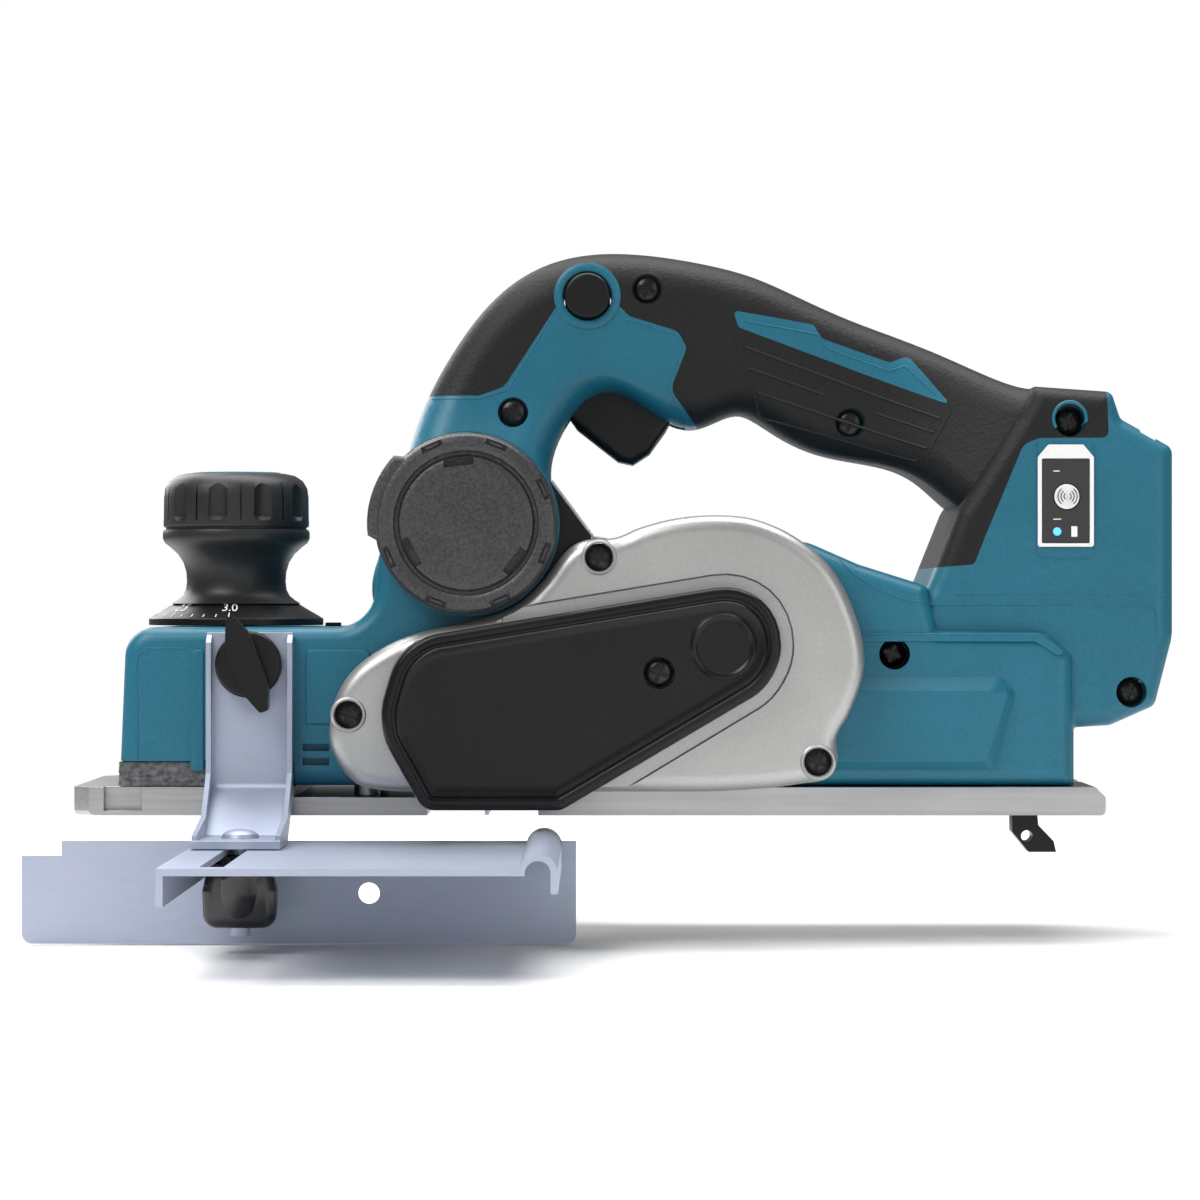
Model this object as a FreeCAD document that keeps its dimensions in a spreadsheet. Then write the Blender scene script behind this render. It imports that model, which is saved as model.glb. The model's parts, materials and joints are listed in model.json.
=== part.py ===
# Electric hand planer, 82 mm class, battery powered, shown without its battery.
# Millimetres. X = 0 is the cutter axis, +X runs to the heel, Y = 0 is mid width,
# -Y is the belt side, Z = 0 is the plane of both soles.
import FreeCAD, Part
import math
import os
import Sketcher
from FreeCAD import Placement, Rotation, Vector

doc = FreeCAD.newDocument("hand_planer")
sheet = doc.addObject("Spreadsheet::Sheet", "Sizes")

DRIVING_SIZES = (
    # soles
    ("base_width", 82.0),
    ("base_thickness", 8.6),
    ("front_base_length", 107.5),
    ("rear_base_length", 171.8),
    ("mouth_half", 16.8),
    ("web_thickness", 5.5),
    ("edge_break", 1.5),
    # cutter
    ("drum_radius", 20.5),
    ("cutting_radius", 22.0),
    ("drum_clearance", 2.4),
    ("journal_radius", 4.0),
    ("drum_bearing_radius", 9.5),
    ("bearing_width", 6.0),
    ("drum_pulley_radius", 17.0),
    ("pulley_width", 8.0),
    # motor
    ("motor_ahead", 72.2),
    ("motor_height", 51.4),
    ("motor_pulley_radius", 7.8),
    ("shaft_radius", 4.0),
    ("motor_bearing_radius", 8.0),
    ("stator_radius", 22.0),
    ("stator_length", 34.0),
    ("rotor_radius", 12.5),
    ("air_gap", 0.5),
    ("fan_radius", 20.0),
    ("belt_thickness", 1.6),
    # shells
    ("wall", 3.0),
    ("grip_skin", 1.8),
    ("deck_height", 57.0),
    ("body_underside", 8.9),
    ("foam_height", 7.8),
    ("handle_half", 17.5),
    ("rear_half", 37.0),
    ("belt_case_depth", 16.7),
    ("belt_cover_depth", 6.7),
    # depth knob
    ("knob_ahead", -78.3),
    ("knob_radius", 22.8),
    ("knob_top", 104.6),
    ("dial_radius", 27.2),
    ("depth_travel", 3.0),
    ("screw_radius", 6.0),
    # chip nozzle
    ("duct_ahead", -4.4),
    ("duct_height", 88.1),
    ("cap_radius", 27.2),
    ("duct_radius", 23.5),
    ("cap_depth", 11.5),
    ("spigot_radius", 19.0),
    ("spigot_length", 22.0),
    # controls
    ("trigger_width", 14.0),
    ("button_radius", 7.1),
    ("button_ahead", 31.6),
    ("button_height", 159.0),
    ("button_proud", 2.6),
    # fence
    ("fence_ahead", -70.3),
    ("bracket_width", 26.0),
    ("sheet_gauge", 2.0),
    ("fence_length", 167.3),
    ("fence_depth", 29.0),
    ("fence_reach", 125.0),
    ("bolt_radius", 3.0),
    ("bolt_out", 75.0),
    ("nut_radius", 10.4),
    # rear foot
    ("foot_ahead", 167.6),
    ("foot_width", 9.0),
    # fits
    ("gap", 0.35),
    ("running_fit", 0.05),
    ("case_screw_radius", 2.0),
    ("screw_head_radius", 4.2),
)


def fill_sheet():
    for row, (alias, number) in enumerate(DRIVING_SIZES, start=1):
        sheet.set("A%d" % row, alias)
        sheet.set("B%d" % row, repr(number))
        sheet.setAlias("B%d" % row, alias)
    doc.recompute()


fill_sheet()


def size(alias):
    return float(sheet.get(alias))


def value(expression):
    return float(sheet.evalExpression(expression.replace("$", "Sizes.")))


def bind(item, prop, expression):
    item.setExpression(prop, expression.replace("$", "Sizes."))


def plane_of(body, role):
    return [item for item in body.Origin.OriginFeatures if item.Role == role][0]


parts = []


def keep(item, label):
    item.Label = label
    parts.append(item)
    return item


# ---- sketch and primitive helpers ----

def new_body(label):
    return keep(doc.addObject("PartDesign::Body", label + "_body"), label)


def sketch_on(body, role, offset="0"):
    sketch = body.newObject("Sketcher::SketchObject", "outline")
    sketch.AttachmentSupport = [(plane_of(body, role), "")]
    sketch.MapMode = "FlatFace"
    bind(sketch, "AttachmentOffset.Base.z", offset)
    return sketch


def pin_point(sketch, geometry, point, place):
    for kind, expression in zip(("DistanceX", "DistanceY"), place):
        number = Sketcher.Constraint(kind, geometry, point, value(expression))
        index = sketch.addConstraint(number)
        bind(sketch, "Constraints[%d]" % index, expression)


def polygon(body, role, corners, offset="0"):
    """A closed outline whose every corner is held by its two bound distances."""
    sketch = sketch_on(body, role, offset)
    spots = [Vector(value(u), value(v), 0) for u, v in corners]
    for here, there in zip(spots, spots[1:] + spots[:1]):
        sketch.addGeometry(Part.LineSegment(here, there), False)
    for index in range(len(spots)):
        after = (index + 1) % len(spots)
        sketch.addConstraint(Sketcher.Constraint("Coincident", index, 2, after, 1))
    for index, place in enumerate(corners):
        pin_point(sketch, index, 1, place)
    return sketch


def circles(body, role, rounds, offset="0"):
    sketch = sketch_on(body, role, offset)
    for index, (u, v, radius) in enumerate(rounds):
        centre = Vector(value(u), value(v), 0)
        sketch.addGeometry(Part.Circle(centre, Vector(0, 0, 1), value(radius)), False)
        pin_point(sketch, index, 3, (u, v))
        number = sketch.addConstraint(Sketcher.Constraint("Radius", index, value(radius)))
        bind(sketch, "Constraints[%d]" % number, radius)
    return sketch


def oblong(left, right, low, high):
    return ((left, low), (right, low), (right, high), (left, high))


def pad(body, sketch, length, symmetric=False, reverse=False):
    feature = body.newObject("PartDesign::Pad", "pad")
    feature.Profile = sketch
    bind(feature, "Length", length)
    feature.SideType = "Symmetric" if symmetric else "One side"
    feature.Reversed = reverse
    doc.recompute()
    return feature


def pocket(body, sketch, length, symmetric=False, reverse=False):
    before = body.Shape.Volume
    feature = body.newObject("PartDesign::Pocket", "pocket")
    feature.Profile = sketch
    bind(feature, "Length", length)
    feature.SideType = "Symmetric" if symmetric else "One side"
    feature.Reversed = reverse
    doc.recompute()
    if body.Shape.Volume > before - 0.01:
        raise ValueError("%s: a pocket cuts nothing" % body.Label)
    return feature


def dress(body, kind, radius, picks):
    """Fillet or Chamfer on the edges that picks(edge) chooses."""
    base = body.Tip
    names = ["Edge%d" % (n + 1) for n, edge in enumerate(base.Shape.Edges) if picks(edge)]
    feature = body.newObject("PartDesign::" + kind, kind.lower())
    feature.Base = (base, names)
    bind(feature, "Radius" if kind == "Fillet" else "Size", radius)
    doc.recompute()
    return feature


def middle(edge):
    box = edge.BoundBox
    return box.Center


def cylinder(name, radius, length, place, turn=None):
    item = doc.addObject("Part::Cylinder", name)
    bind(item, "Radius", radius)
    bind(item, "Height", length)
    if turn:
        item.Placement = Placement(Vector(), turn)
    for axis, expression in zip("xyz", place):
        bind(item, "Placement.Base." + axis, expression)
    return item


def box(name, lengths, place):
    item = doc.addObject("Part::Box", name)
    for prop, expression in zip(("Length", "Width", "Height"), lengths):
        bind(item, prop, expression)
    for axis, expression in zip("xyz", place):
        bind(item, "Placement.Base." + axis, expression)
    return item


def combine(kind, name, items):
    result = doc.addObject("Part::" + kind, name)
    if kind == "Cut":
        result.Base, result.Tool = items
    elif kind == "Compound":
        result.Links = items
    else:
        result.Shapes = items
    return result


ALONG_Y = Rotation(Vector(1, 0, 0), -90)


def ring(name, outer, inner, length, place, turn=ALONG_Y):
    full = cylinder(name + "_full", outer, length, place, turn)
    hole = cylinder(name + "_hole", inner, length, place, turn)
    return combine("Cut", name, (full, hole))


def computed(label, shape):
    item = doc.addObject("Part::Feature", label + "_shape")
    item.Shape = shape
    item.Placement = Placement()
    return keep(item, label)


# ---- outline helpers for moulded shapes ----

def rounded_wire(corners, spot):
    """Straight runs joined by tangent arcs. corners are (u, v, radius)."""
    points = [Vector(u, v, 0) for u, v, _ in corners]
    stations = []
    for index, corner in enumerate(points):
        back = (points[index - 1] - corner).normalize()
        ahead = (points[(index + 1) % len(points)] - corner).normalize()
        radius = corners[index][2]
        if not radius:
            stations.append((corner, None, corner))
            continue
        half = back.getAngle(ahead) / 2
        reach = radius / math.tan(half)
        inward = (back + ahead).normalize()
        bulge = corner + inward * (radius / math.sin(half) - radius)
        stations.append((corner + back * reach, bulge, corner + ahead * reach))
    edges = []
    for index, (start, bulge, end) in enumerate(stations):
        if bulge:
            edges.append(Part.Arc(spot(start), spot(bulge), spot(end)).toShape())
        following = stations[(index + 1) % len(stations)][0]
        if (following - end).Length > 1e-6:
            edges.append(Part.LineSegment(spot(end), spot(following)).toShape())
    return Part.Wire(Part.__sortEdges__(edges))


def side_wire(corners, across=0.0):
    return rounded_wire(corners, lambda point: Vector(point.x, across, point.y))


def slab(corners, low, high, rim_low=0.0, rim_high=0.0, inset=0.0):
    """A side outline given a thickness across Y, with rounded rims."""
    face = Part.Face(side_wire(corners, low))
    if inset:
        face = Part.Face(face.makeOffset2D(-inset).Wires)
    solid = face.extrude(Vector(0, high - low, 0))
    for rim, level in ((rim_low, low), (rim_high, high)):
        if rim > 0:
            edges = [e for e in solid.Edges
                     if abs(e.BoundBox.YMin - level) < 1e-4 and abs(e.BoundBox.YMax - level) < 1e-4]
            solid = solid.makeFillet(rim, edges)
    return solid


def bar(radius, low, high, ahead, height):
    return Part.makeCylinder(radius, high - low, Vector(ahead, low, height), Vector(0, 1, 0))


def block(x0, x1, y0, y1, z0, z1):
    return Part.makeBox(x1 - x0, y1 - y0, z1 - z0, Vector(x0, y0, z0))


def tube_section(outer, inner, half, radius, inset=0.0):
    """A rounded rectangle from outer to inner, (x, z) each, and half wide each way in Y."""
    start = Vector(outer[0], 0, outer[1])
    run = Vector(inner[0], 0, inner[1]) - start
    along = Vector(run).normalize()
    reach = run.Length - inset
    side = half - inset
    turn = max(radius - inset, 1.0)

    def spot(point):
        return start + along * point.x + Vector(0, point.y, 0)

    corners = ((inset, -side, turn), (reach, -side, turn), (reach, side, turn), (inset, side, turn))
    return rounded_wire(corners, spot)


# ---- sizes that several pieces share ----

half = size("base_width") / 2
gap = size("gap")
case_inner = -half - gap
case_outer = case_inner - size("belt_case_depth")
cover_inner = case_outer - gap
cover_outer = cover_inner - size("belt_cover_depth")
cover_wall = 2.0
plate = size("bearing_width") + 0.4
cutter = (0.0, size("cutting_radius"))
motor = (size("motor_ahead"), size("motor_height"))
duct = (size("duct_ahead"), size("duct_height"))
knob_x = size("knob_ahead")
heel = size("mouth_half") + size("rear_base_length")
toe = -size("mouth_half") - size("front_base_length")
under = size("body_underside")
foam_top = size("base_thickness") + size("foam_height")
deck = size("deck_height")
boss_out = half + 9.0
drum_room = size("drum_radius") + size("drum_clearance") + 1.6


# ---- soles ----

def make_rear_base():
    """Die-cast sole; a slot for the kickstand and a cheek that carries the far drum bearing."""
    body = new_body("rear_base")
    outline = polygon(body, "XY_Plane", oblong(
        "$mouth_half", "$mouth_half + $rear_base_length", "-$base_width / 2", "$base_width / 2"))
    pad(body, outline, "$base_thickness")
    dress(body, "Chamfer", "3.2", lambda e: abs(middle(e).x - heel) < 0.01
          and abs(middle(e).z - size("base_thickness")) < 0.01)
    dress(body, "Fillet", "$edge_break", lambda e: abs(middle(e).x - heel) < 0.01
          and abs(middle(e).z) < 0.01)
    relief = circles(body, "XZ_Plane", (("0", "$cutting_radius", "$drum_radius + $drum_clearance"),))
    pocket(body, relief, "$base_width + 2", symmetric=True)
    slot = polygon(body, "XY_Plane", oblong(
        "$foot_ahead - 6.5", "$mouth_half + $rear_base_length + 1",
        "-$foot_width / 2 - 1", "$foot_width / 2 + 1"))
    pocket(body, slot, "$base_thickness + 1", reverse=True)
    pin_hole = circles(body, "XZ_Plane", (("$foot_ahead", "4.5", "1.5"),))
    pocket(body, pin_hole, "$foot_width + 12", symmetric=True)
    cheek = polygon(body, "XZ_Plane", (
        ("-14", "$base_thickness + $depth_travel + 1.5"), ("$mouth_half", "$base_thickness + $depth_travel + 1.5"),
        ("$mouth_half", "0.8"), ("36", "0.8"), ("36", "12"), ("14", "$cutting_radius + 14"),
        ("-14", "$cutting_radius + 14")), "-$base_width / 2 - 8 - $gap")
    pad(body, cheek, "8")
    web = polygon(body, "XY_Plane", oblong(
        "$mouth_half", "34", "$base_width / 2 - 1", "$base_width / 2 + $gap + 1"), "0.8")
    pad(body, web, "$base_thickness - 0.8")
    seat = circles(body, "XZ_Plane", (("0", "$cutting_radius", "$drum_bearing_radius"),),
                   "-$base_width / 2 - $gap")
    pocket(body, seat, "$bearing_width", reverse=False)
    spring_room = circles(body, "XZ_Plane", (("$foot_ahead", "4.5", "3.4"),), "-$foot_width / 2 - 0.5")
    pocket(body, spring_room, "6")
    bolts = circles(body, "XY_Plane", tuple(
        (x, y, "$case_screw_radius + 0.1")
        for x in ("$mouth_half + 24", "$mouth_half + $rear_base_length - 44")
        for y in ("-$base_width / 2 + 16", "$base_width / 2 - 16")))
    pocket(body, bolts, "$base_thickness + 1", reverse=True)
    sinks = circles(body, "XY_Plane", tuple(
        (x, y, "$screw_head_radius + 0.3")
        for x in ("$mouth_half + 24", "$mouth_half + $rear_base_length - 44")
        for y in ("-$base_width / 2 + 16", "$base_width / 2 - 16")))
    pocket(body, sinks, "4", reverse=True)


def make_front_base():
    """Rising sole: V groove for chamfering, stepped top, a boss for the depth screw, two guides."""
    body = new_body("front_base")
    outline = polygon(body, "XY_Plane", oblong(
        "-$mouth_half - $front_base_length", "-$mouth_half", "-$base_width / 2", "$base_width / 2"))
    pad(body, outline, "$base_thickness")
    dress(body, "Chamfer", "5", lambda e: abs(middle(e).x - toe) < 0.01
          and abs(abs(middle(e).y) - half) < 0.01)
    dress(body, "Fillet", "$edge_break", lambda e: abs(middle(e).z) < 0.01 and middle(e).x < toe + 6
          and abs(middle(e).y) < half - 0.5)
    step = polygon(body, "XY_Plane", oblong(
        "$fence_ahead + $bracket_width / 2", "-$mouth_half + 1", "-$base_width", "$base_width"),
        "$web_thickness")
    pocket(body, step, "$base_thickness", reverse=True)
    notch = polygon(body, "XZ_Plane", oblong(
        "-$mouth_half - $front_base_length + 9.6", "-$mouth_half - $front_base_length + 21", "1.4",
        "$base_thickness + 1"), "$base_width / 2 - 4")
    pocket(body, notch, "6", reverse=True)
    groove = polygon(body, "YZ_Plane", (("-3.2", "-0.01"), ("3.2", "-0.01"), ("0", "3.2")))
    pocket(body, groove, "$front_base_length * 2 + 80", symmetric=True)
    rise = circles(body, "XZ_Plane", (
        ("0", "$cutting_radius - $depth_travel / 2", "$drum_radius + $drum_clearance + $depth_travel / 2"),))
    pocket(body, rise, "$base_width + 2", symmetric=True)
    posts = circles(body, "XY_Plane", (
        ("$knob_ahead", "0", "10"), ("-36", "-24", "4"), ("-36", "24", "4")), "4.5")
    pad(body, posts, "20")
    bore = circles(body, "XY_Plane", (("$knob_ahead", "0", "$screw_radius + $running_fit"),), "4.2")
    pocket(body, bore, "40", reverse=True)


def make_foam_seal():
    """Soft ring that keeps chips in between the rising sole and the body."""
    full = box("foam_outside", ("53", "$base_width - 1", "$foam_height - $gap"),
               ("-110.3", "-$base_width / 2 + 0.5", "$base_thickness + $gap"))
    hollow = box("foam_inside", ("33", "$base_width - 23", "$foam_height + 4"),
                 ("-100.3", "-$base_width / 2 + 11.5", "$base_thickness - 1"))
    keep(combine("Cut", "foam_ring", (full, hollow)), "foam_seal")


# ---- the two shells and their rubber ----

def nose_outline():
    lift = 12.0
    return ((-110.4, under, 1.0), (-108.4, deck, 9.0), (-33.8, deck, lift), (-31.2, duct[1] - 6, 3.0),
            (36.0, duct[1] - 6, 2.0), (98.0, 83.0, 12.0), (114.0, 76.0, 14.0), (134.4, 69.6, 1.5), (138.0, 56.0, 1.0),
            (heel - 17.6, 55.4, 2.5), (heel - 9.6, 48.4, 1.5), (heel - 9.6, under, 1.0))


def tail_outline():
    back = 210.0
    return ((130.0, under, 0), (130.0, 60.0, 0), (135.5, 70.0, 2.0), (144.5, 92.5, 9.0), (163.0, 121.0, 4.0),
            (167.5, 130.4, 1.5), (191.5, 128.7, 2.5), (194.2, 120.5, 3.0), (back, 111.6, 3.0),
            (back, 54.0, 12.0), (204.6, 33.0, 3.0), (191.0, 27.0, 3.0), (heel - 8.6, 26.3, 1.0),
            (heel - 8.6, under, 0))


def handle_stations():
    """Outer point, inner point, half width and corner radius, from the neck over to the heel."""
    grip = size("handle_half")
    return (((-33.6, 64.0), (62.0, 64.0), 37.0, 9.0),
            ((-29.6, 86.0), (30.5, 86.0), 35.0, 10.0),
            ((-25.2, 104.0), (20.0, 105.0), 27.5, 11.0),
            ((-18.2, 127.0), (26.5, 122.0), grip + 2.5, 11.0),
            ((-4.0, 151.0), (36.0, 129.5), grip + 0.5, 11.0),
            ((16.5, 168.4), (47.5, 126.0), grip, 12.0),
            ((45.5, 172.8), (61.0, 118.6), grip, 12.0),
            ((74.0, 168.3), (74.5, 122.0), grip, 12.0),
            ((99.0, 158.6), (90.0, 117.0), grip, 12.0),
            ((129.5, 146.0), (119.0, 107.6), grip + 1.0, 11.0),
            ((152.0, 135.8), (137.0, 100.5), 25.0, 10.0),
            ((170.0, 130.0), (150.0, 92.0), 33.0, 9.0))


def shell_solid(inset):
    """The whole moulded outside, shrunk by inset on every face."""
    edge = size("base_width") / 2 - inset
    nose = slab(nose_outline(), -edge, edge, max(5 - inset, 1), max(5 - inset, 1), inset)
    tail_half = size("rear_half") - inset
    tail = slab(tail_outline(), -tail_half, tail_half, max(6 - inset, 1), max(6 - inset, 1), inset)
    grip = Part.makeLoft([tube_section(*station, inset) for station in handle_stations()], True, False)
    return nose.fuse([tail, grip]).removeSplitter()


def teal_front_zone():
    """Teal tongue that climbs the front of the handle to the lock button and hangs over the trigger."""
    return ((-60.0, 40.0, 0), (-60.0, 128.2, 0), (-1.5, 128.2, 6.0), (6.0, 131.0, 5.0), (22.6, 156.6, 7.0),
            (31.6, 167.6, 7.2), (41.4, 156.0, 2.0), (44.5, 152.8, 3.0), (59.5, 148.2, 4.0), (62.3, 143.0, 3.0),
            (57.2, 130.0, 5.0), (66.5, 117.5, 0), (40.0, 95.0, 0), (60.0, 84.0, 0), (60.0, 40.0, 0))


def teal_tail_zone():
    """Teal tail behind the rubber."""
    return ((100.0, 0.0, 0), (100.0, 60.0, 0), (132.0, 74.6, 0), (149.2, 76.0, 2.0), (152.4, 84.2, 2.0),
            (164.2, 112.6, 5.0), (169.0, 114.4, 3.0), (190.0, 114.5, 2.0), (189.4, 140.0, 0),
            (230.0, 140.0, 0), (230.0, 0.0, 0))


def insert_zone():
    """Teal inlay along the top of the grip."""
    return ((76.6, 154.6, 1.0), (78.2, 149.4, 1.5), (143.4, 125.0, 0.6), (130.5, 140.6, 3.0),
            (125.0, 138.4, 2.0), (103.9, 145.9, 3.0), (101.5, 150.2, 2.0), (90.4, 152.2, 0))


def prism(corners, reach=70.0):
    face = Part.Face(side_wire(corners, -reach))
    return face.extrude(Vector(0, 2 * reach, 0))


def duct_bosses():
    """Round spigots on both sides of the neck that the cap and the outlet turn on."""
    reach = boss_out
    ring_outer = size("cap_radius") + 0.6
    return bar(ring_outer, -reach, reach, *duct)


def screw_spots():
    """Shell screws, entered from the belt side: (x, z, face of the head's seat)."""
    grip = -size("handle_half") + 3.5
    tail = -size("rear_half") + 7.0
    return ((50.0, 161.2, grip), (8.7, 123.0, grip - 3.0), (112.7, 119.9, grip), (178.3, 119.5, tail),
            (124.7, 48.8, tail), (197.0, 37.2, tail))


def battery_bay():
    """Rails' room on the back of the tail, open behind and above, with two undercut grooves."""
    edge = size("rear_half") - 6.0
    room = block(200.0, 230.0, -edge, edge, 40.0, 140.0)
    lips = block(200.0, 205.0, -edge - 3, edge + 3, 40.0, 140.0)
    return room.fuse(lips)


def trigger_slot():
    edge = size("trigger_width") / 2 + gap + 0.3
    return block(24.6, 62.0, -edge, edge, 100.0, 141.5)


def teardown():
    """Outside, rubber core and inner cavity, with every opening already taken out."""
    outside = shell_solid(0.0).fuse(duct_bosses())
    core = shell_solid(size("grip_skin"))
    cavity = shell_solid(size("wall") + size("grip_skin"))
    drum_wall = bar(drum_room + 2.5, -90, 90, *cutter)
    duct_wall = bar(size("duct_radius") + 3.0, -90, 90, *duct)
    pillars = [bar(size("case_screw_radius") + 2.6, -60, 60, x, z) for x, z, _ in screw_spots()]
    knob_wall = Part.makeCylinder(size("screw_radius") + 3.5, 30, Vector(knob_x, 0, deck - 15))
    bay_wall = block(195.5, 240.0, -60, 60, 35.0, 140.0)
    cavity = cavity.cut([drum_wall, duct_wall, knob_wall, bay_wall] + pillars)
    openings = [
        bar(drum_room, -90, 90, *cutter),
        block(-size("mouth_half") - 6, size("mouth_half") + 6, -90, 90, -1, cutter[1] - 6),
        bar(size("duct_radius") + 1.2, -90, 90, *duct),
        block(-20, 4, -half + 8, half - 8, cutter[1] + 16, duct[1] - 18),
        battery_bay(),
        trigger_slot(),
        bar(size("button_radius") + 0.4, -60, 60, size("button_ahead"), size("button_height")),
        block(-113.0, -57.0, -60, 60, 0, foam_top),
        Part.makeCylinder(size("screw_radius") + size("running_fit"), 60, Vector(knob_x, 0, deck - 30)),
        Part.makeCylinder(10.4, 20, Vector(knob_x, 0, foam_top - 4)),
        bar(size("motor_bearing_radius") + 6, -half - 5, -half + 12, *motor),
        bar(size("bolt_radius") + size("running_fit"), -half - 5, -half + 9, size("fence_ahead"), 45.8),
    ]
    for side in (-24, 24):
        openings.append(Part.makeCylinder(4 + size("running_fit"), 22, Vector(-36, side, 6)))
    for x, z, seat in screw_spots():
        openings.append(bar(size("case_screw_radius") + 0.1, seat - 1, 12, x, z))
        openings.append(bar(size("screw_head_radius") + 0.5, -70, seat, x, z))
    for x, z in case_screws():
        openings.append(bar(size("case_screw_radius") + 0.1, -half - 1, -half + 12, x, z))
    openings.append(bar(4.15, -half, -half + 12, *panel_button()))
    for x in (size("mouth_half") + 24, heel - 44):
        for y in (-half + 16, half - 16):
            openings.append(Part.makeCylinder(size("case_screw_radius") + 0.1, 6, Vector(x, y, under - 1)))
    return outside, core, cavity, openings


def vents():
    """Cooling slots: two behind the knob on each side, a fan of them round the motor on the far side."""
    slots = []
    for low in (15.2, 19.5):
        slots += [block(-54.5, -46.5, side - 3, side + 3, low, low + 2.2) for side in (-half, half)]
    for turn in range(9):
        leaf = block(-1.3, 1.3, half - 6, half + 4, 9.5, 19.0)
        leaf.rotate(Vector(0, 0, 0), Vector(0, 1, 0), turn * 40)
        leaf.translate(Vector(motor[0], 0, motor[1]))
        slots.append(leaf)
    return slots


def make_shells():
    outside, core, cavity, openings = teardown()
    collar = bar(size("button_radius") + 3.0, -70, 70, size("button_ahead"), size("button_height"))
    front, tail = prism(teal_front_zone()).fuse(collar), prism(teal_tail_zone())
    low = block(-150, 132, -90, 90, -5, 84.5)
    teal = front.fuse([tail, low])
    hard = outside.cut([cavity] + openings + vents())
    rubber = hard.cut([core, teal, duct_bosses()])
    shell = hard.cut(rubber)
    inlay = hard.common(prism(insert_zone())).cut(shell_solid(1.1))
    rubber = rubber.cut(inlay)
    near, far = block(-200, 300, -90, 0, -50, 250), block(-200, 300, 0, 90, -50, 250)
    for name, piece in (("housing", shell), ("grip", rubber)):
        for side, room in (("left", near), ("right", far)):
            computed("%s_%s" % (name, side), largest(piece.common(room), 60.0))
    computed("grip_inlays", largest(inlay, 20.0))


def largest(shape, least):
    """The solids of a shape that hold more than least cubic millimetres."""
    solids = [solid for solid in shape.Solids if solid.Volume > least]
    return solids[0] if len(solids) == 1 else Part.makeCompound(solids)


# ---- belt drive ----

def case_outline():
    """Silver belt case: a lobe over the cutter, a scoop round the nozzle, a big round over the motor."""
    left, floor = -46.2, 7.8
    top, back = motor[1] + 39.3, motor[0] + 43.0
    return ((left, floor, 12.0), (left, 58.0, 36.0), (4.0, 58.0, 10.0), (31.0, 84.2, 3.0),
            (43.0, 83.9, 4.0), (51.0, 89.2, 8.0), (60.0, top, 8.0), (back, top, 42.5), (back, floor, 34.0))


def cover_outline():
    """Black belt cover, close round both pulleys and square at the bottom."""
    right = motor[0] + 17.1
    return ((-17.0, 2.7, 3.0), (-31.0, 28.0, 20.0), (-23.5, 53.4, 17.0), (right, motor[1] + 20.6, 17.1),
            (right, motor[1] - 10.1, 17.1), (24.0, 2.7, 3.0))


def case_screws():
    return ((35.2, 77.9), (-39.6, 30.9), (100.6, 16.8))


def cover_screw():
    return (53.0, 43.6)


def make_belt_case():
    """Case that carries both near bearings and makes the back wall of the belt room."""
    case = slab(case_outline(), case_outer, case_inner, rim_low=4.5)
    room_face = Part.Face(side_wire(cover_outline(), case_outer - 1))
    room_face = Part.Face(room_face.makeOffset2D(-4.0).Wires)
    room = room_face.extrude(Vector(0, case_inner - case_outer - plate + 1, 0))
    case = case.cut(room)
    lip = slab(cover_outline(), case_outer - 1, case_outer + 1.2)
    case = case.cut(lip)
    floor_cut = block(-60, 30, case_outer - 5, case_inner - 0.01, -5, 4.4)
    through = []
    for centre, radius in ((cutter, size("drum_bearing_radius")), (motor, size("motor_bearing_radius"))):
        through.append(bar(radius, case_inner - plate - 5, case_inner - 0.4, *centre))
        through.append(bar(radius - 2, case_inner - 3, case_inner + 1, *centre))
    for x, z in case_screws():
        through.append(bar(size("case_screw_radius") + 0.2, case_outer - 5, case_inner + 5, x, z))
        through.append(bar(size("screw_head_radius") + 0.6, case_outer - 5, case_outer + 4, x, z))
    x, z = cover_screw()
    through.append(bar(size("case_screw_radius") + 0.1, case_outer - 5, case_inner - 2, x, z))
    scoop = bar(size("cap_radius") + 1.0, case_outer - 5, case_inner + 5, *duct)
    case = case.fuse(bar(6.0, case_outer + 4, case_inner, x, z))
    case = case.cut(through + [floor_cut, scoop])
    computed("belt_case", largest(case, 100))


def make_belt_cover():
    """Shallow dish with a raised middle and a round boss over the motor pulley."""
    cover = slab(cover_outline(), cover_outer, cover_inner, rim_low=2.6)
    dish_face = Part.Face(side_wire(cover_outline(), cover_outer + cover_wall))
    dish_face = Part.Face(dish_face.makeOffset2D(-2.2).Wires)
    dish = dish_face.extrude(Vector(0, size("belt_cover_depth"), 0))
    x, z = cover_screw()
    post = bar(5.2, cover_outer + 0.5, cover_inner, x, z).common(bar(5.2, -90, cover_inner, x, z))
    boss = bar(9.8, cover_outer - 0.9, cover_outer + 1, *motor)
    boss = boss.makeFillet(0.6, [boss.Edges[0], boss.Edges[2]]) if len(boss.Edges) == 3 else boss
    cover = cover.cut(dish).fuse([post, boss])
    cover = cover.cut([bar(size("case_screw_radius") + 0.2, -90, -30, x, z),
                       bar(size("screw_head_radius") + 0.8, -90, cover_outer + 3.2, x, z)])
    computed("belt_cover", cover)


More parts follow.
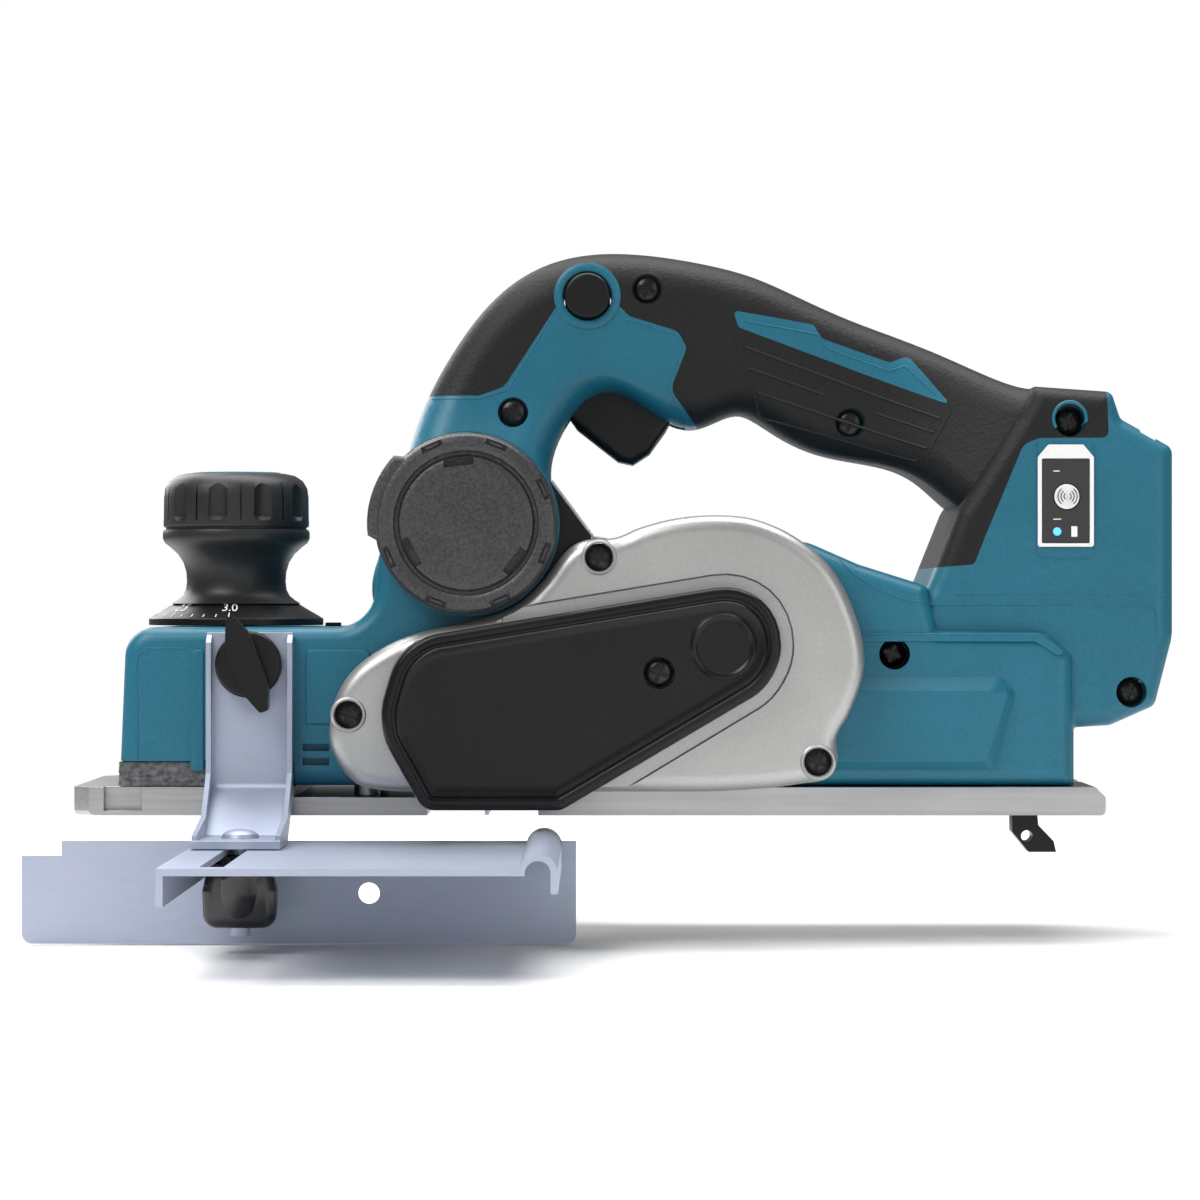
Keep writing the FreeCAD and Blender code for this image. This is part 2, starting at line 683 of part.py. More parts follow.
def screw_shape(spot, seat, length, toward=Vector(0, 1, 0), head=None, shank=None):
    """Pan-head hex-socket screw: seat is where the head's underside rests."""
    head = head or size("screw_head_radius")
    shank = shank or size("case_screw_radius") - 0.05
    start = Vector(spot[0], seat, spot[1]) if toward.y else Vector(spot[0], spot[1], seat)
    cap = Part.makeCylinder(head, 2.6, start - toward * 2.6, toward)
    rod = Part.makeCylinder(shank, length, start, toward)
    corners = [Vector(2.0 * math.cos(a), 2.0 * math.sin(a), 0) for a in
               [math.pi / 3 * n for n in range(7)]]
    socket = Part.Face(Part.makePolygon(corners)).extrude(Vector(0, 0, 1.8))
    socket.Placement = Placement(start - toward * 2.7, Rotation(Vector(0, 0, 1), toward))
    return cap.fuse(rod).cut(socket)


def make_screws():
    shell = [screw_shape((x, z), seat, 11 - seat) for x, z, seat in screw_spots()]
    computed("housing_screws", Part.makeCompound(shell))
    case = [screw_shape(spot, case_outer + 4, case_inner - case_outer) for spot in case_screws()]
    computed("belt_case_screws", Part.makeCompound(case))
    computed("belt_cover_screw", screw_shape(cover_screw(), cover_outer + 3.2, 9))
    up = Vector(0, 0, 1)
    sole = [screw_shape((x, y), 4.0, 10, up) for x in (size("mouth_half") + 24, heel - 44)
            for y in (-half + 16, half - 16)]
    computed("base_screws", Part.makeCompound(sole))


def place_y(y, spot=None):
    return (spot[0], y, spot[1]) if spot else ("0", y, "$cutting_radius")


MOTOR_AXIS = ("$motor_ahead", "$motor_height")


def make_bearings():
    """Ball bearings as inner ring, outer ring and seal, one stack each."""
    spec = (("drum_bearings", "$drum_bearing_radius", "$journal_radius", None,
             ("-$base_width / 2 - $gap - $bearing_width - 0.4", "$base_width / 2 + $gap + 0.05")),
            ("motor_bearings", "$motor_bearing_radius", "$shaft_radius", MOTOR_AXIS,
             ("-$base_width / 2 - $gap - $bearing_width - 0.4", "$stator_length / 2 + 5")))
    for label, outer, inner, spot, stations in spec:
        rings = [ring("%s_%d" % (label, n), outer + " - $running_fit", inner + " + $running_fit",
                      "$bearing_width - 0.1", place_y(y, spot)) for n, y in enumerate(stations)]
        keep(combine("Compound", label + "_set", rings), label)


def toothed(outer, radius, ribs, low, high, centre):
    """A pulley for a ribbed belt: flanges either side and V ribs round the rim."""
    profile = [(0, low), (outer, low), (outer, low + 0.8)]
    pitch = (high - low - 1.6) / ribs
    for rib in range(ribs):
        y = low + 0.8 + rib * pitch
        profile += [(radius - 0.7, y), (radius, y + pitch / 2)]
    profile += [(radius - 0.7, high - 0.8), (outer, high - 0.8), (outer, high), (0, high)]
    return turned(profile, centre)


def turned(profile, centre, bearing=Vector(0, 1, 0)):
    """A (radius, station) outline revolved about an axis along Y or Z through centre."""
    across = bearing.y > 0.5
    points = [Vector(centre[0] + r, y, centre[1]) if across else Vector(centre[0] + r, centre[1], y)
              for r, y in profile]
    origin = Vector(centre[0], 0, centre[1]) if across else Vector(centre[0], centre[1], 0)
    face = Part.Face(Part.makePolygon(points + points[:1]))
    return face.revolve(origin, bearing, 360)


def pulley_span():
    low = case_outer + 1.4
    return low, low + size("pulley_width")


def make_drum():
    """Cutter block with two blade gibs, its shaft and the big pulley."""
    reach = half - 0.6
    block_shape = bar(size("drum_radius"), -reach, reach, *cutter)
    near_end, _ = pulley_span()
    shaft = bar(size("journal_radius"), near_end + size("pulley_width") + 0.01, half + 6.0, *cutter)
    low, high = pulley_span()
    drum = block_shape.fuse(shaft)
    blades, gibs, bolts = [], [], []
    for turn in (0, 180):
        def around(shape):
            shape.rotate(Vector(0, 0, cutter[1]), Vector(0, 1, 0), turn)
            return shape
        x, z = 0.0, cutter[1]
        seat = block(-2.0, 8.2, -reach - 1, reach + 1, z + 11.0, z + 30.0)
        drum = drum.cut(around(seat))
        edge = size("cutting_radius")
        blades.append(around(block(-1.8, -0.6, -reach, reach - 0.9, z + 12.0, z + edge - 0.1)))
        gib = block(-0.55, 8.0, -reach, reach, z + 11.05, z + 25.0).common(
            bar(size("drum_radius") - 0.2, -90, 90, *cutter))
        holes = [Part.makeCylinder(2.1, 30, Vector(4.2, y, z + 5)) for y in (-28, 0, 28)]
        heads = [Part.makeCylinder(3.6, 30, Vector(4.2, y, z + 15.5)) for y in (-28, 0, 28)]
        gibs.append(around(gib.cut(holes + heads)))
        for y in (-28, 0, 28):
            threads = around(Part.makeCylinder(2.1, 30, Vector(4.2, y, z + 5)))
            drum = drum.cut(threads.common(bar(14.0, -90, 90, *cutter)))
            bolts.append(around(screw_shape((4.2, y), z + 15.5, 8, Vector(0, 0, -1), 3.4, 2.0)))
    computed("cutter_drum", drum)
    computed("planer_blades", Part.makeCompound(blades))
    computed("blade_gibs", Part.makeCompound(gibs))
    computed("gib_bolts", Part.makeCompound(bolts))
    wheel = toothed(size("drum_pulley_radius") + 1.6, size("drum_pulley_radius"), 5, low, high, cutter)
    computed("drum_pulley", wheel)


def make_motor():
    low, high = pulley_span()
    stack = size("stator_length") / 2
    shaft = bar(size("shaft_radius"), high + 0.01, stack + 5 + size("bearing_width"), *motor)
    computed("motor_shaft", shaft)
    bore = size("shaft_radius") + 0.001
    core = bar(size("rotor_radius"), -stack, stack, *motor)
    for turn in range(12):
        slot = block(-0.7, 0.7, -stack - 1, stack + 1, size("rotor_radius") - 3.2, size("rotor_radius") + 1)
        slot.rotate(Vector(), Vector(0, 1, 0), 30 * turn)
        slot.translate(Vector(motor[0], 0, motor[1]))
        core = core.cut(slot)
    computed("rotor_core", core.cut(bar(bore, -90, 90, *motor)))
    poles = bar(size("stator_radius"), -stack, stack, *motor).cut(
        bar(size("rotor_radius") + size("air_gap"), -90, 90, *motor))
    for turn in range(6):
        slot = block(-3.6, 3.6, -stack - 1, stack + 1, size("rotor_radius") + 3.0, size("stator_radius") - 3.0)
        slot.rotate(Vector(), Vector(0, 1, 0), 60 * turn)
        slot.translate(Vector(motor[0], 0, motor[1]))
        poles = poles.cut(slot)
    computed("stator_core", poles)
    coils = []
    for turn in range(6):
        wind = block(-3.0, 3.0, -stack - 3.5, stack + 3.5, size("rotor_radius") + 3.6,
                     size("stator_radius") - 3.6)
        wind = wind.makeFillet(0.8, wind.Edges)
        wind.rotate(Vector(), Vector(0, 1, 0), 60 * turn)
        wind.translate(Vector(motor[0], 0, motor[1]))
        coils.append(wind)
    computed("stator_coils", Part.makeCompound(coils))
    hub_low = -stack - 14.0
    fan = bar(7.0, hub_low, hub_low + 9, *motor).fuse(bar(size("fan_radius"), hub_low, hub_low + 1.6, *motor))
    for turn in range(11):
        blade = block(-0.6, 0.6, hub_low + 1.0, hub_low + 8.5, 6.0, size("fan_radius") - 0.5)
        blade.rotate(Vector(0, 0, 6), Vector(0, 1, 0), 25)
        blade.rotate(Vector(), Vector(0, 1, 0), 360 / 11 * turn)
        blade.translate(Vector(motor[0], 0, motor[1]))
        fan = fan.fuse(blade)
    fan = fan.common(bar(size("fan_radius"), -90, 90, *motor)).cut(bar(bore, -90, 90, *motor))
    computed("cooling_fan", fan)
    wheel = toothed(size("motor_pulley_radius") + 1.4, size("motor_pulley_radius"), 5, low, high, motor)
    computed("motor_pulley", wheel)


def belt_loop(r_drum, r_motor, low, high):
    """The tangent band round two pulleys."""
    run = Vector(motor[0] - cutter[0], 0, motor[1] - cutter[1])
    lean = math.acos((r_drum - r_motor) / run.Length)
    heading = math.atan2(run.z, run.x)
    centres = (Vector(cutter[0], low, cutter[1]), Vector(motor[0], low, motor[1]))

    def rim(centre, radius, angle):
        return centre + Vector(radius * math.cos(angle), 0, radius * math.sin(angle))

    top, bottom = heading + lean, heading - lean
    a, b = rim(centres[0], r_drum, top), rim(centres[1], r_motor, top)
    c, d = rim(centres[1], r_motor, bottom), rim(centres[0], r_drum, bottom)
    wire = Part.Wire([
        Part.LineSegment(a, b).toShape(),
        Part.Arc(b, rim(centres[1], r_motor, heading), c).toShape(),
        Part.LineSegment(c, d).toShape(),
        Part.Arc(d, rim(centres[0], r_drum, heading + math.pi), a).toShape()])
    return Part.Face(wire).extrude(Vector(0, high - low, 0))


def make_belt():
    low, high = pulley_span()
    side, away = 1.1, 0.15
    inner = belt_loop(size("drum_pulley_radius") + away, size("motor_pulley_radius") + away, low, high)
    reach = away + size("belt_thickness")
    outer = belt_loop(size("drum_pulley_radius") + reach, size("motor_pulley_radius") + reach,
                      low + side, high - side)
    computed("drive_belt", outer.cut(inner))


# ---- depth knob ----

def make_knob():
    """Fluted cap on a waisted neck; the dial cone under it turns with it."""
    top, radius = size("knob_top"), size("knob_radius")
    neck, foot = radius - 7.0, deck + 9.0
    low_cap = top - 17.0
    head = Part.makeCylinder(radius, top - low_cap, Vector(knob_x, 0, low_cap))
    for turn in range(12):
        angle = math.radians(30 * turn + 15)
        centre = Vector(knob_x + (radius + 4.6) * math.cos(angle), (radius + 4.6) * math.sin(angle), low_cap - 6)
        head = head.cut(Part.makeCylinder(6.2, 60, centre))
    head = head.common(turned(
        [(0, low_cap), (radius + 1, low_cap), (radius + 1, top - 6), (radius - 0.6, top - 2.6),
         (radius - 3.4, top - 0.4), (radius - 6, top), (0, top)], (knob_x, 0), Vector(0, 0, 1)))
    waist_curve = [(0, foot), (neck + 0.6, foot), (neck, foot + 3), (neck, foot + 5.5),
                   (neck + 1.4, foot + 10), (neck + 4.2, foot + 14.5), (neck + 5.2, low_cap - 3), (0, low_cap - 3)]
    waist = turned(waist_curve, (knob_x, 0), Vector(0, 0, 1))
    collar = Part.makeCylinder(radius - 2.4, 3.2, Vector(knob_x, 0, low_cap - 3.1))
    grip = head.fuse([waist, collar]).removeSplitter()
    seat = Part.makeCylinder(14.2, 5, Vector(knob_x, 0, top - 1.2))
    stem_room = Part.makeCylinder(size("screw_radius") + 0.01, 24, Vector(knob_x, 0, foot - 10))
    computed("depth_knob", grip.cut([seat, stem_room]))
    inlay = Part.makeCylinder(14.0, 1.6, Vector(knob_x, 0, top - 1.2))
    computed("knob_inlay", inlay.makeFillet(0.5, [inlay.Edges[0]]))
    rim, rise = size("dial_radius"), deck + 2.4
    cone = turned([(size("screw_radius") + 0.01, deck + gap), (rim, deck + gap), (rim, rise), (neck + 0.2, foot - 0.01),
                   (size("screw_radius") + 0.01, foot - 0.01)], (knob_x, 0), Vector(0, 0, 1))
    computed("depth_dial", cone)


def make_depth_screw():
    stem = cylinder("stem", "$screw_radius", "65", ("$knob_ahead", "0", "$base_thickness + 0.4"))
    flange = cylinder("flange", "$screw_radius + 2.4", "2.4", ("$knob_ahead", "0", "$deck_height - 20.4"))
    keep(combine("MultiFuse", "screw_fused", [stem, flange]), "depth_screw")


def make_pointer():
    """Index mark on the deck, just outside the dial, at its rear."""
    body = new_body("depth_pointer")
    mark = polygon(body, "XY_Plane", (
        ("$knob_ahead + $dial_radius + 0.8", "-2.6"), ("$knob_ahead + $dial_radius + 5.6", "-1.4"),
        ("$knob_ahead + $dial_radius + 5.6", "1.4"), ("$knob_ahead + $dial_radius + 0.8", "2.6")),
        "$deck_height")
    pad(body, mark, "1.2")


# ---- chip path ----

def make_duct():
    """Tube across the neck with a chute that leads up from the cutter."""
    reach = boss_out
    tube = bar(size("duct_radius") + 0.8, -reach, reach, *duct)
    bore = bar(size("duct_radius") - 1.2, -90, 90, *duct)
    chute = block(-19.6, 3.6, -half + 8.4, half - 8.4, cutter[1] + 26.6, duct[1] - 15)
    throat = block(-17.6, 1.6, -half + 10.4, half - 10.4, cutter[1] + 20, duct[1] - 10)
    computed("chip_duct", tube.fuse(chute).cut([bore, throat]))


def make_cap():
    """Bayonet cap over the near mouth of the duct, with louvres and a thumb bulge."""
    radius, depth = size("cap_radius"), size("cap_depth")
    face = -boss_out - gap
    outer = face - depth
    dome = turned([(0, outer), (radius - 7.2, outer), (radius - 6.4, outer - 0.01), (radius - 4.2, outer + 0.6),
                   (radius - 0.8, outer + 3.2), (radius, outer + 5.4), (radius, face), (0, face)], duct)
    hollow = bar(radius - 2.4, outer + 2.6, face + 1, *duct)
    bulge = bar(8.5, outer + 0.8, outer + 5.0, duct[0] - radius + 7.4, duct[1] + 1.0)
    cap = dome.fuse(bulge.common(bar(radius - 0.4, -90, 0, *duct))).cut(hollow)
    plug = bar(size("duct_radius") - 1.2 - gap, outer + 2.0, face + 7, *duct).cut(
        bar(size("duct_radius") - 3.2 - gap, outer + 2.5, face + 8, *duct))
    cap = cap.fuse(plug)
    louvres = []
    for ahead, height in ((-2.4, 20.5), (-17.4, -11.8), (18.0, -8.4)):
        slit = block(-4.6, 4.6, outer - 3, outer + 6, -1.3, 1.3)
        slit.translate(Vector(duct[0] + ahead, 0, duct[1] + height))
        louvres.append(slit)
    computed("nozzle_cap", cap.cut(louvres))


def make_nozzle():
    """Chip outlet on the far side: a bayonet collar that narrows to a hose spigot."""
    radius, spigot = size("cap_radius"), size("spigot_radius")
    face = boss_out + gap
    end = face + 14 + size("spigot_length")
    outside = turned([(0, face), (radius, face), (radius, face + 8), (radius - 3.5, face + 11.5),
                      (spigot + 1.5, face + 13), (spigot, face + 14), (spigot, end - 1), (spigot - 1, end),
                      (0, end)], duct)
    plug = bar(size("duct_radius") - 1.2 - gap, face - 7, face + 1, *duct)
    inner = bar(spigot - 2.2, face - 8, end + 1, *duct)
    computed("chip_nozzle", outside.fuse(plug).cut(inner))


# ---- controls ----

def make_trigger():
    """Finger trigger hung from a pin near its front."""
    body = new_body("trigger")
    outline = polygon(body, "XZ_Plane", (
        ("25.2", "123"), ("28.5", "118.2"), ("41.2", "108.2"), ("45.8", "107.2"), ("51.0", "110.6"),
        ("56.0", "117.6"), ("58.6", "122.5"), ("57.8", "131"), ("35", "140.5"), ("27.5", "140.5"), ("25.2", "132")))
    pad(body, outline, "$trigger_width", symmetric=True)
    dress(body, "Fillet", "3.2", lambda e: abs(abs(middle(e).y) - size("trigger_width") / 2) < 0.01
          and middle(e).z < 119.5)
    pin_hole = circles(body, "XZ_Plane", (("30", "136", "1.5 + $running_fit"),))
    pocket(body, pin_hole, "$trigger_width + 2", symmetric=True)
    pin = cylinder("trigger_pin_rod", "1.5", "$trigger_width + 7", ("30", "-$trigger_width / 2 - 3.5", "136"), ALONG_Y)
    keep(pin, "trigger_pin")


def make_lock_button():
    """Push-through safety button, proud on both sides."""
    reach = "$handle_half + $button_proud"
    shaft = cylinder("button_shaft", "$button_radius", "2 * (%s)" % reach,
                     ("$button_ahead", "-(%s)" % reach, "$button_height"), ALONG_Y)
    ends = doc.addObject("Part::Fillet", "button_ends")
    ends.Base = shaft
    rims = [n + 1 for n, edge in enumerate(shaft_shape(shaft).Edges) if edge.Closed]
    ends.Edges = [(number, 1.2, 1.2) for number in rims]
    keep(ends, "lock_button")


def shaft_shape(item):
    doc.recompute()
    return item.Shape


def spring_shape(start, bearing, coil, wire, length, turns):
    """Round-wire coil, its axis from start along bearing."""
    helix = Part.makeHelix(length / turns, length, coil)
    section = Part.Wire([Part.Circle(Vector(coil, 0, 0), Vector(0, 1, 0), wire).toShape()])
    coil_shape = Part.Wire(helix.Edges).makePipeShell([section], True, True)
    matrix = Placement(start, Rotation(Vector(0, 0, 1), bearing)).toMatrix()
    return coil_shape.transformGeometry(matrix)


def make_switch():
    keep(box("switch_case", ("29", "18", "10.5"), ("40.5", "-9", "145.5")), "switch_body")
    plunger_top = cylinder("plunger", "1.4", "6.4", ("47", "0", "139"))
    keep(plunger_top, "switch_plunger")


def make_springs():
    computed("trigger_spring", spring_shape(Vector(54, 0, 134.6), Vector(0, 0, 1), 2.3, 0.35, 9.5, 5))
    computed("foot_spring", spring_shape(
        Vector(size("foot_ahead"), size("foot_width") / 2 + 1.4, 4.5), Vector(0, 1, 0), 2.4, 0.3, 4.2, 5))


# ---- fence ----

def make_bracket():
    """Bent plate that hangs off the body's side and turns out into a foot."""
    body = new_body("fence_bracket")
    face = "-$base_width / 2 - $gap"
    foot_low = "-4.8 - $sheet_gauge * 1.2"
    outline = polygon(body, "YZ_Plane", (
        (face, "$deck_height - 1.6"), (face, "7"), ("-63.4", foot_low), ("-$bolt_out - 16", foot_low),
        ("-$bolt_out - 16", "-4.8"), ("-62.4", "-4.8"),
        (face + " - $sheet_gauge", "8.9"), (face + " - $sheet_gauge", "$deck_height - 1.6")), "$fence_ahead")
    pad(body, outline, "$bracket_width", symmetric=True)
    dress(body, "Fillet", "3", lambda e: abs(middle(e).x - size("fence_ahead")) < 0.1
          and (abs(middle(e).z - 7) < 0.1 or abs(middle(e).z - 8.9) < 0.1))
    for sign in ("-", "+"):
        flange = polygon(body, "YZ_Plane", (
            (face + " - 1", "$deck_height - 1.6"), (face + " - 1", "8"), ("-62.9", "-6"),
            ("-$bolt_out - 14", "-6"), ("-$bolt_out - 14", "-3.2"), ("-62", "0.6"),
            (face + " - 5.2", "13"), (face + " - 5.2", "$deck_height - 4.6")),
            "$fence_ahead %s ($bracket_width / 2 - 0.8)" % sign)
        pad(body, flange, "1.6", symmetric=True)
    slot = circles(body, "XZ_Plane", (("$fence_ahead", "45.8", "$bolt_radius + 0.4"),), "$base_width / 2")
    pocket(body, slot, "12", reverse=True)
    square = polygon(body, "XY_Plane", oblong(
        "$fence_ahead - 3.3", "$fence_ahead + 3.3", "-$bolt_out - 3.3", "-$bolt_out + 3.3"), "-20")
    pocket(body, square, "24", reverse=True)


def make_bracket_screw():
    """Winged thumb screw through the bracket into the body."""
    x, z = size("fence_ahead"), 45.8
    face = -half - gap - size("sheet_gauge")
    shank = bar(size("bolt_radius"), face - 0.5, face + 11.5, x, z)
    washer = bar(8.2, face - 1.6 - gap, face - gap, x, z)
    disc = bar(10.0, face - 7.2, face - 2.2, x, z)
    disc = disc.makeFillet(1.2, [e for e in disc.Edges if e.Closed])
    wing = slab(((-15.0, -1.2, 1.0), (-7.5, -4.2, 3.0), (7.5, -4.2, 3.0), (15.0, -1.2, 1.0), (15.0, 1.2, 1.0),
                 (7.5, 4.2, 3.0), (-7.5, 4.2, 3.0), (-15.0, 1.2, 1.0)), face - 11.4, face - 4.5)
    wing.rotate(Vector(), Vector(0, 1, 0), 70)
    wing.translate(Vector(x, 0, z))
    computed("bracket_thumb_screw", disc.fuse([shank.fuse(washer), wing]))


def make_fence():
    """Folded sheet: a table that slides under the foot and a tall face against the work."""
    body = new_body("fence_guide")
    table = "-7.5"
    left, right = "$fence_ahead - 14.5", "$fence_ahead + 90"
    plate_outline = polygon(body, "XY_Plane", oblong(
        left, right, "-45 - $fence_reach", "-45"), table + " - $sheet_gauge")
    pad(body, plate_outline, "$sheet_gauge")
    flange = polygon(body, "YZ_Plane", oblong("-45 - $fence_reach", "-45", "-17.9", table), left)
    pad(body, flange, "$sheet_gauge")
    face = polygon(body, "XZ_Plane", (
        ("-127", table), ("-127", "-12"), ("-139", "-12"), ("-139", "-9.5 - $fence_depth"),
        ("-139 + $fence_length", "-9.5 - $fence_depth"), ("-139 + $fence_length", table)), "43")
    pad(body, face, "$sheet_gauge")
    dress(body, "Fillet", "3", lambda e: abs(middle(e).y + 44) < 0.1 and abs(middle(e).z + 9.5 + size("fence_depth")) < 0.1
          and e.Length < size("sheet_gauge") + 0.1)
    bead = circles(body, "XZ_Plane", ((right + " - 1", table + " - $sheet_gauge + 0.6", "5.4"),), "45")
    pad(body, bead, "$fence_reach")
    core = circles(body, "XZ_Plane", ((right + " - 1", table + " - $sheet_gauge + 0.6", "3.5"),), "44")
    pocket(body, core, "$fence_reach + 4", reverse=True)
    under_bead = polygon(body, "XZ_Plane", oblong(
        right + " - 7", right + " + 2.4", "-20", table + " - $sheet_gauge"), "47")
    pocket(body, under_bead, "$fence_reach + 4", reverse=True)
    leg = polygon(body, "XZ_Plane", oblong(
        right + " + 2.4", right + " + 4.4", "-14.4", table), "45")
    pad(body, leg, "$fence_reach")
    slot = polygon(body, "XY_Plane", oblong(
        "$fence_ahead - $bolt_radius - 0.35", "$fence_ahead + $bolt_radius + 0.35", "-163", "-50"), "-20")
    pocket(body, slot, "20", reverse=True)
    hole = circles(body, "XZ_Plane", (("-34.2", "-23.3", "3.25"),), "40")
    pocket(body, hole, "10", reverse=True)
    return body


def make_carriage_bolt():
    x = size("fence_ahead")
    y = -size("bolt_out")
    dome = turned([(0, -4.75), (5.6, -4.75), (5.2, -3.6), (3.6, -2.6), (0, -2.0)], (x, y), Vector(0, 0, 1))
    square = block(x - 3.0, x + 3.0, y - 3.0, y + 3.0, -7.2, -4.7)
    shank = Part.makeCylinder(size("bolt_radius"), 27, Vector(x, y, -33.5))
    computed("fence_bolt", dome.fuse([square, shank]))


def make_thumb_nut():
    """Tall waisted nut with a knurled skirt."""
    x, y, top = size("fence_ahead"), -size("bolt_out"), -9.5 - gap
    radius = size("nut_radius")
    nut = turned([(0, top), (radius - 1.2, top), (radius, top - 1.2), (radius - 0.6, top - 6), (radius - 2.6, top - 11),
                  (radius - 3.0, top - 14), (radius - 2.2, top - 18), (radius - 0.6, top - 24),
                  (radius - 1.4, top - 26.4), (0, top - 27.0)], (x, y), Vector(0, 0, 1))
    for turn in range(8):
        angle = math.radians(45 * turn)
        spot = Vector(x + (radius + 0.6) * math.cos(angle), y + (radius + 0.6) * math.sin(angle), top - 30)
        nut = nut.cut(Part.makeCylinder(1.7, 17, spot))
    nut = nut.cut(Part.makeCylinder(size("bolt_radius") + size("running_fit"), 24.2, Vector(x, y, top - 24)))
    computed("fence_nut", nut)


# ---- kickstand ----

def make_foot():
    """Sprung stand that keeps the blades off the bench and folds up into the heel."""
    body = new_body("rear_foot")
    outline = polygon(body, "XZ_Plane", (
        ("$foot_ahead - 3.6", "5.6"), ("$foot_ahead - 2", "8.2"), ("$foot_ahead + 2", "8.2"),
        ("$foot_ahead + 3.6", "5.6"), ("$foot_ahead + 4.6", "-5"), ("$foot_ahead + 9.4", "-10"),
        ("$foot_ahead + 10.2", "-13.4"), ("$foot_ahead + 1.6", "-13.4"), ("$foot_ahead - 3.6", "-7")))
    pad(body, outline, "$foot_width", symmetric=True)
    bore = circles(body, "XZ_Plane", (("$foot_ahead", "4.5", "1.5 + $running_fit"),
                                      ("$foot_ahead + 1", "-8.4", "1.8")))
    pocket(body, bore, "$foot_width + 2", symmetric=True)
    pin = cylinder("foot_pin_rod", "1.5", "$foot_width + 11", ("$foot_ahead", "-$foot_width / 2 - 5.5", "4.5"), ALONG_Y)
    keep(pin, "foot_pin")


# ---- panel, battery and electronics ----

def panel_button():
    return (177.2, 96.6)


def make_panel():
    """Small switch panel let into the near side of the tail."""
    face = -size("rear_half")
    frame_corners = ((168.4, 81.4, 0.8), (185.4, 81.4, 0.8), (185.4, 108.6, 1.0), (182.2, 112.4, 1.0),
                     (171.6, 112.4, 1.0), (168.4, 108.6, 1.0))
    inner_corners = ((169.6, 82.4, 0.5), (184.2, 82.4, 0.5), (184.2, 108.2, 0.5), (169.6, 108.2, 0.5))
    frame = slab(frame_corners, face - 0.8, face - 0.01)
    window = slab(inner_corners, face - 3, face + 1)
    computed("panel_frame", frame.cut(window))
    label = slab(((169.8, 82.6, 0.4), (184.0, 82.6, 0.4), (184.0, 108.0, 0.4), (169.8, 108.0, 0.4)),
                 face - 0.5, face - 0.01)
    computed("panel_label", label.cut(bar(4.15, face - 3, face + 3, *panel_button())))
    computed("panel_button", bar(3.8, face - 1.0, face + 2.6, *panel_button()))


def make_terminal():
    """Contact block at the back and the two rails the battery slides down."""
    edge = size("rear_half") - 6.0
    back = block(200.1, 203.0, -14, 14, 52, 84)
    blades = [block(203.0, 208.5, y - 0.5, y + 0.5, 56, 78) for y in (-10, 10)]
    signal = [block(203.0, 207.5, y - 0.4, y + 0.4, 60, 74) for y in (-4.5, 0, 4.5)]
    computed("battery_terminal", back)
    computed("terminal_blades", Part.makeCompound(blades + signal))
    rails = [block(205.2, 209.8, sign * (edge - 1.6) - 1.5, sign * (edge - 1.6) + 1.5, 62, 104) for sign in (-1, 1)]
    computed("battery_rails", Part.makeCompound(rails))


def make_electronics():
    keep(box("controller_block", ("26", "50", "9"), ("138", "-25", "24")), "motor_controller")
    computed("radio_board", block(166.5, 187.5, -size("rear_half") + 6.2, -size("rear_half") + 7.8, 80, 111))
    heat = block(112, 134, -26, 26, 20, 22)
    for n in range(8):
        heat = heat.fuse(block(112, 134, -25 + 7 * n, -23.6 + 7 * n, 21.9, 31))
    computed("heat_sink", heat)


MAKERS = (
    make_rear_base, make_front_base, make_foam_seal, make_belt_case, make_belt_cover, make_screws,
    make_bearings, make_drum, make_motor, make_belt, make_knob, make_depth_screw, make_pointer, make_duct,
    make_cap, make_nozzle, make_trigger, make_lock_button, make_switch, make_springs, make_bracket,
    make_bracket_screw, make_fence, make_carriage_bolt, make_thumb_nut, make_foot, make_panel,
    make_terminal, make_electronics, make_shells)

for maker in MAKERS:
    maker()
doc.recompute()

for item in doc.Objects:
    if "Invalid" in item.State or "Error" in item.State:
        raise ValueError("%s is %s" % (item.Label, item.State))
for item in parts:
    if item.Shape.isNull() or not item.Shape.isValid() or item.Shape.Volume < 1:
        raise ValueError("%s has no sound shape" % item.Label)

os.makedirs("parts", exist_ok=True)
for item in parts:
    item.Shape.exportStep("parts/%s.step" % item.Label)
print("wrote %d parts" % len(parts))
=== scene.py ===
import json
import math

import bmesh
import bpy
from mathutils import Matrix, Vector
from mathutils.bvhtree import BVHTree

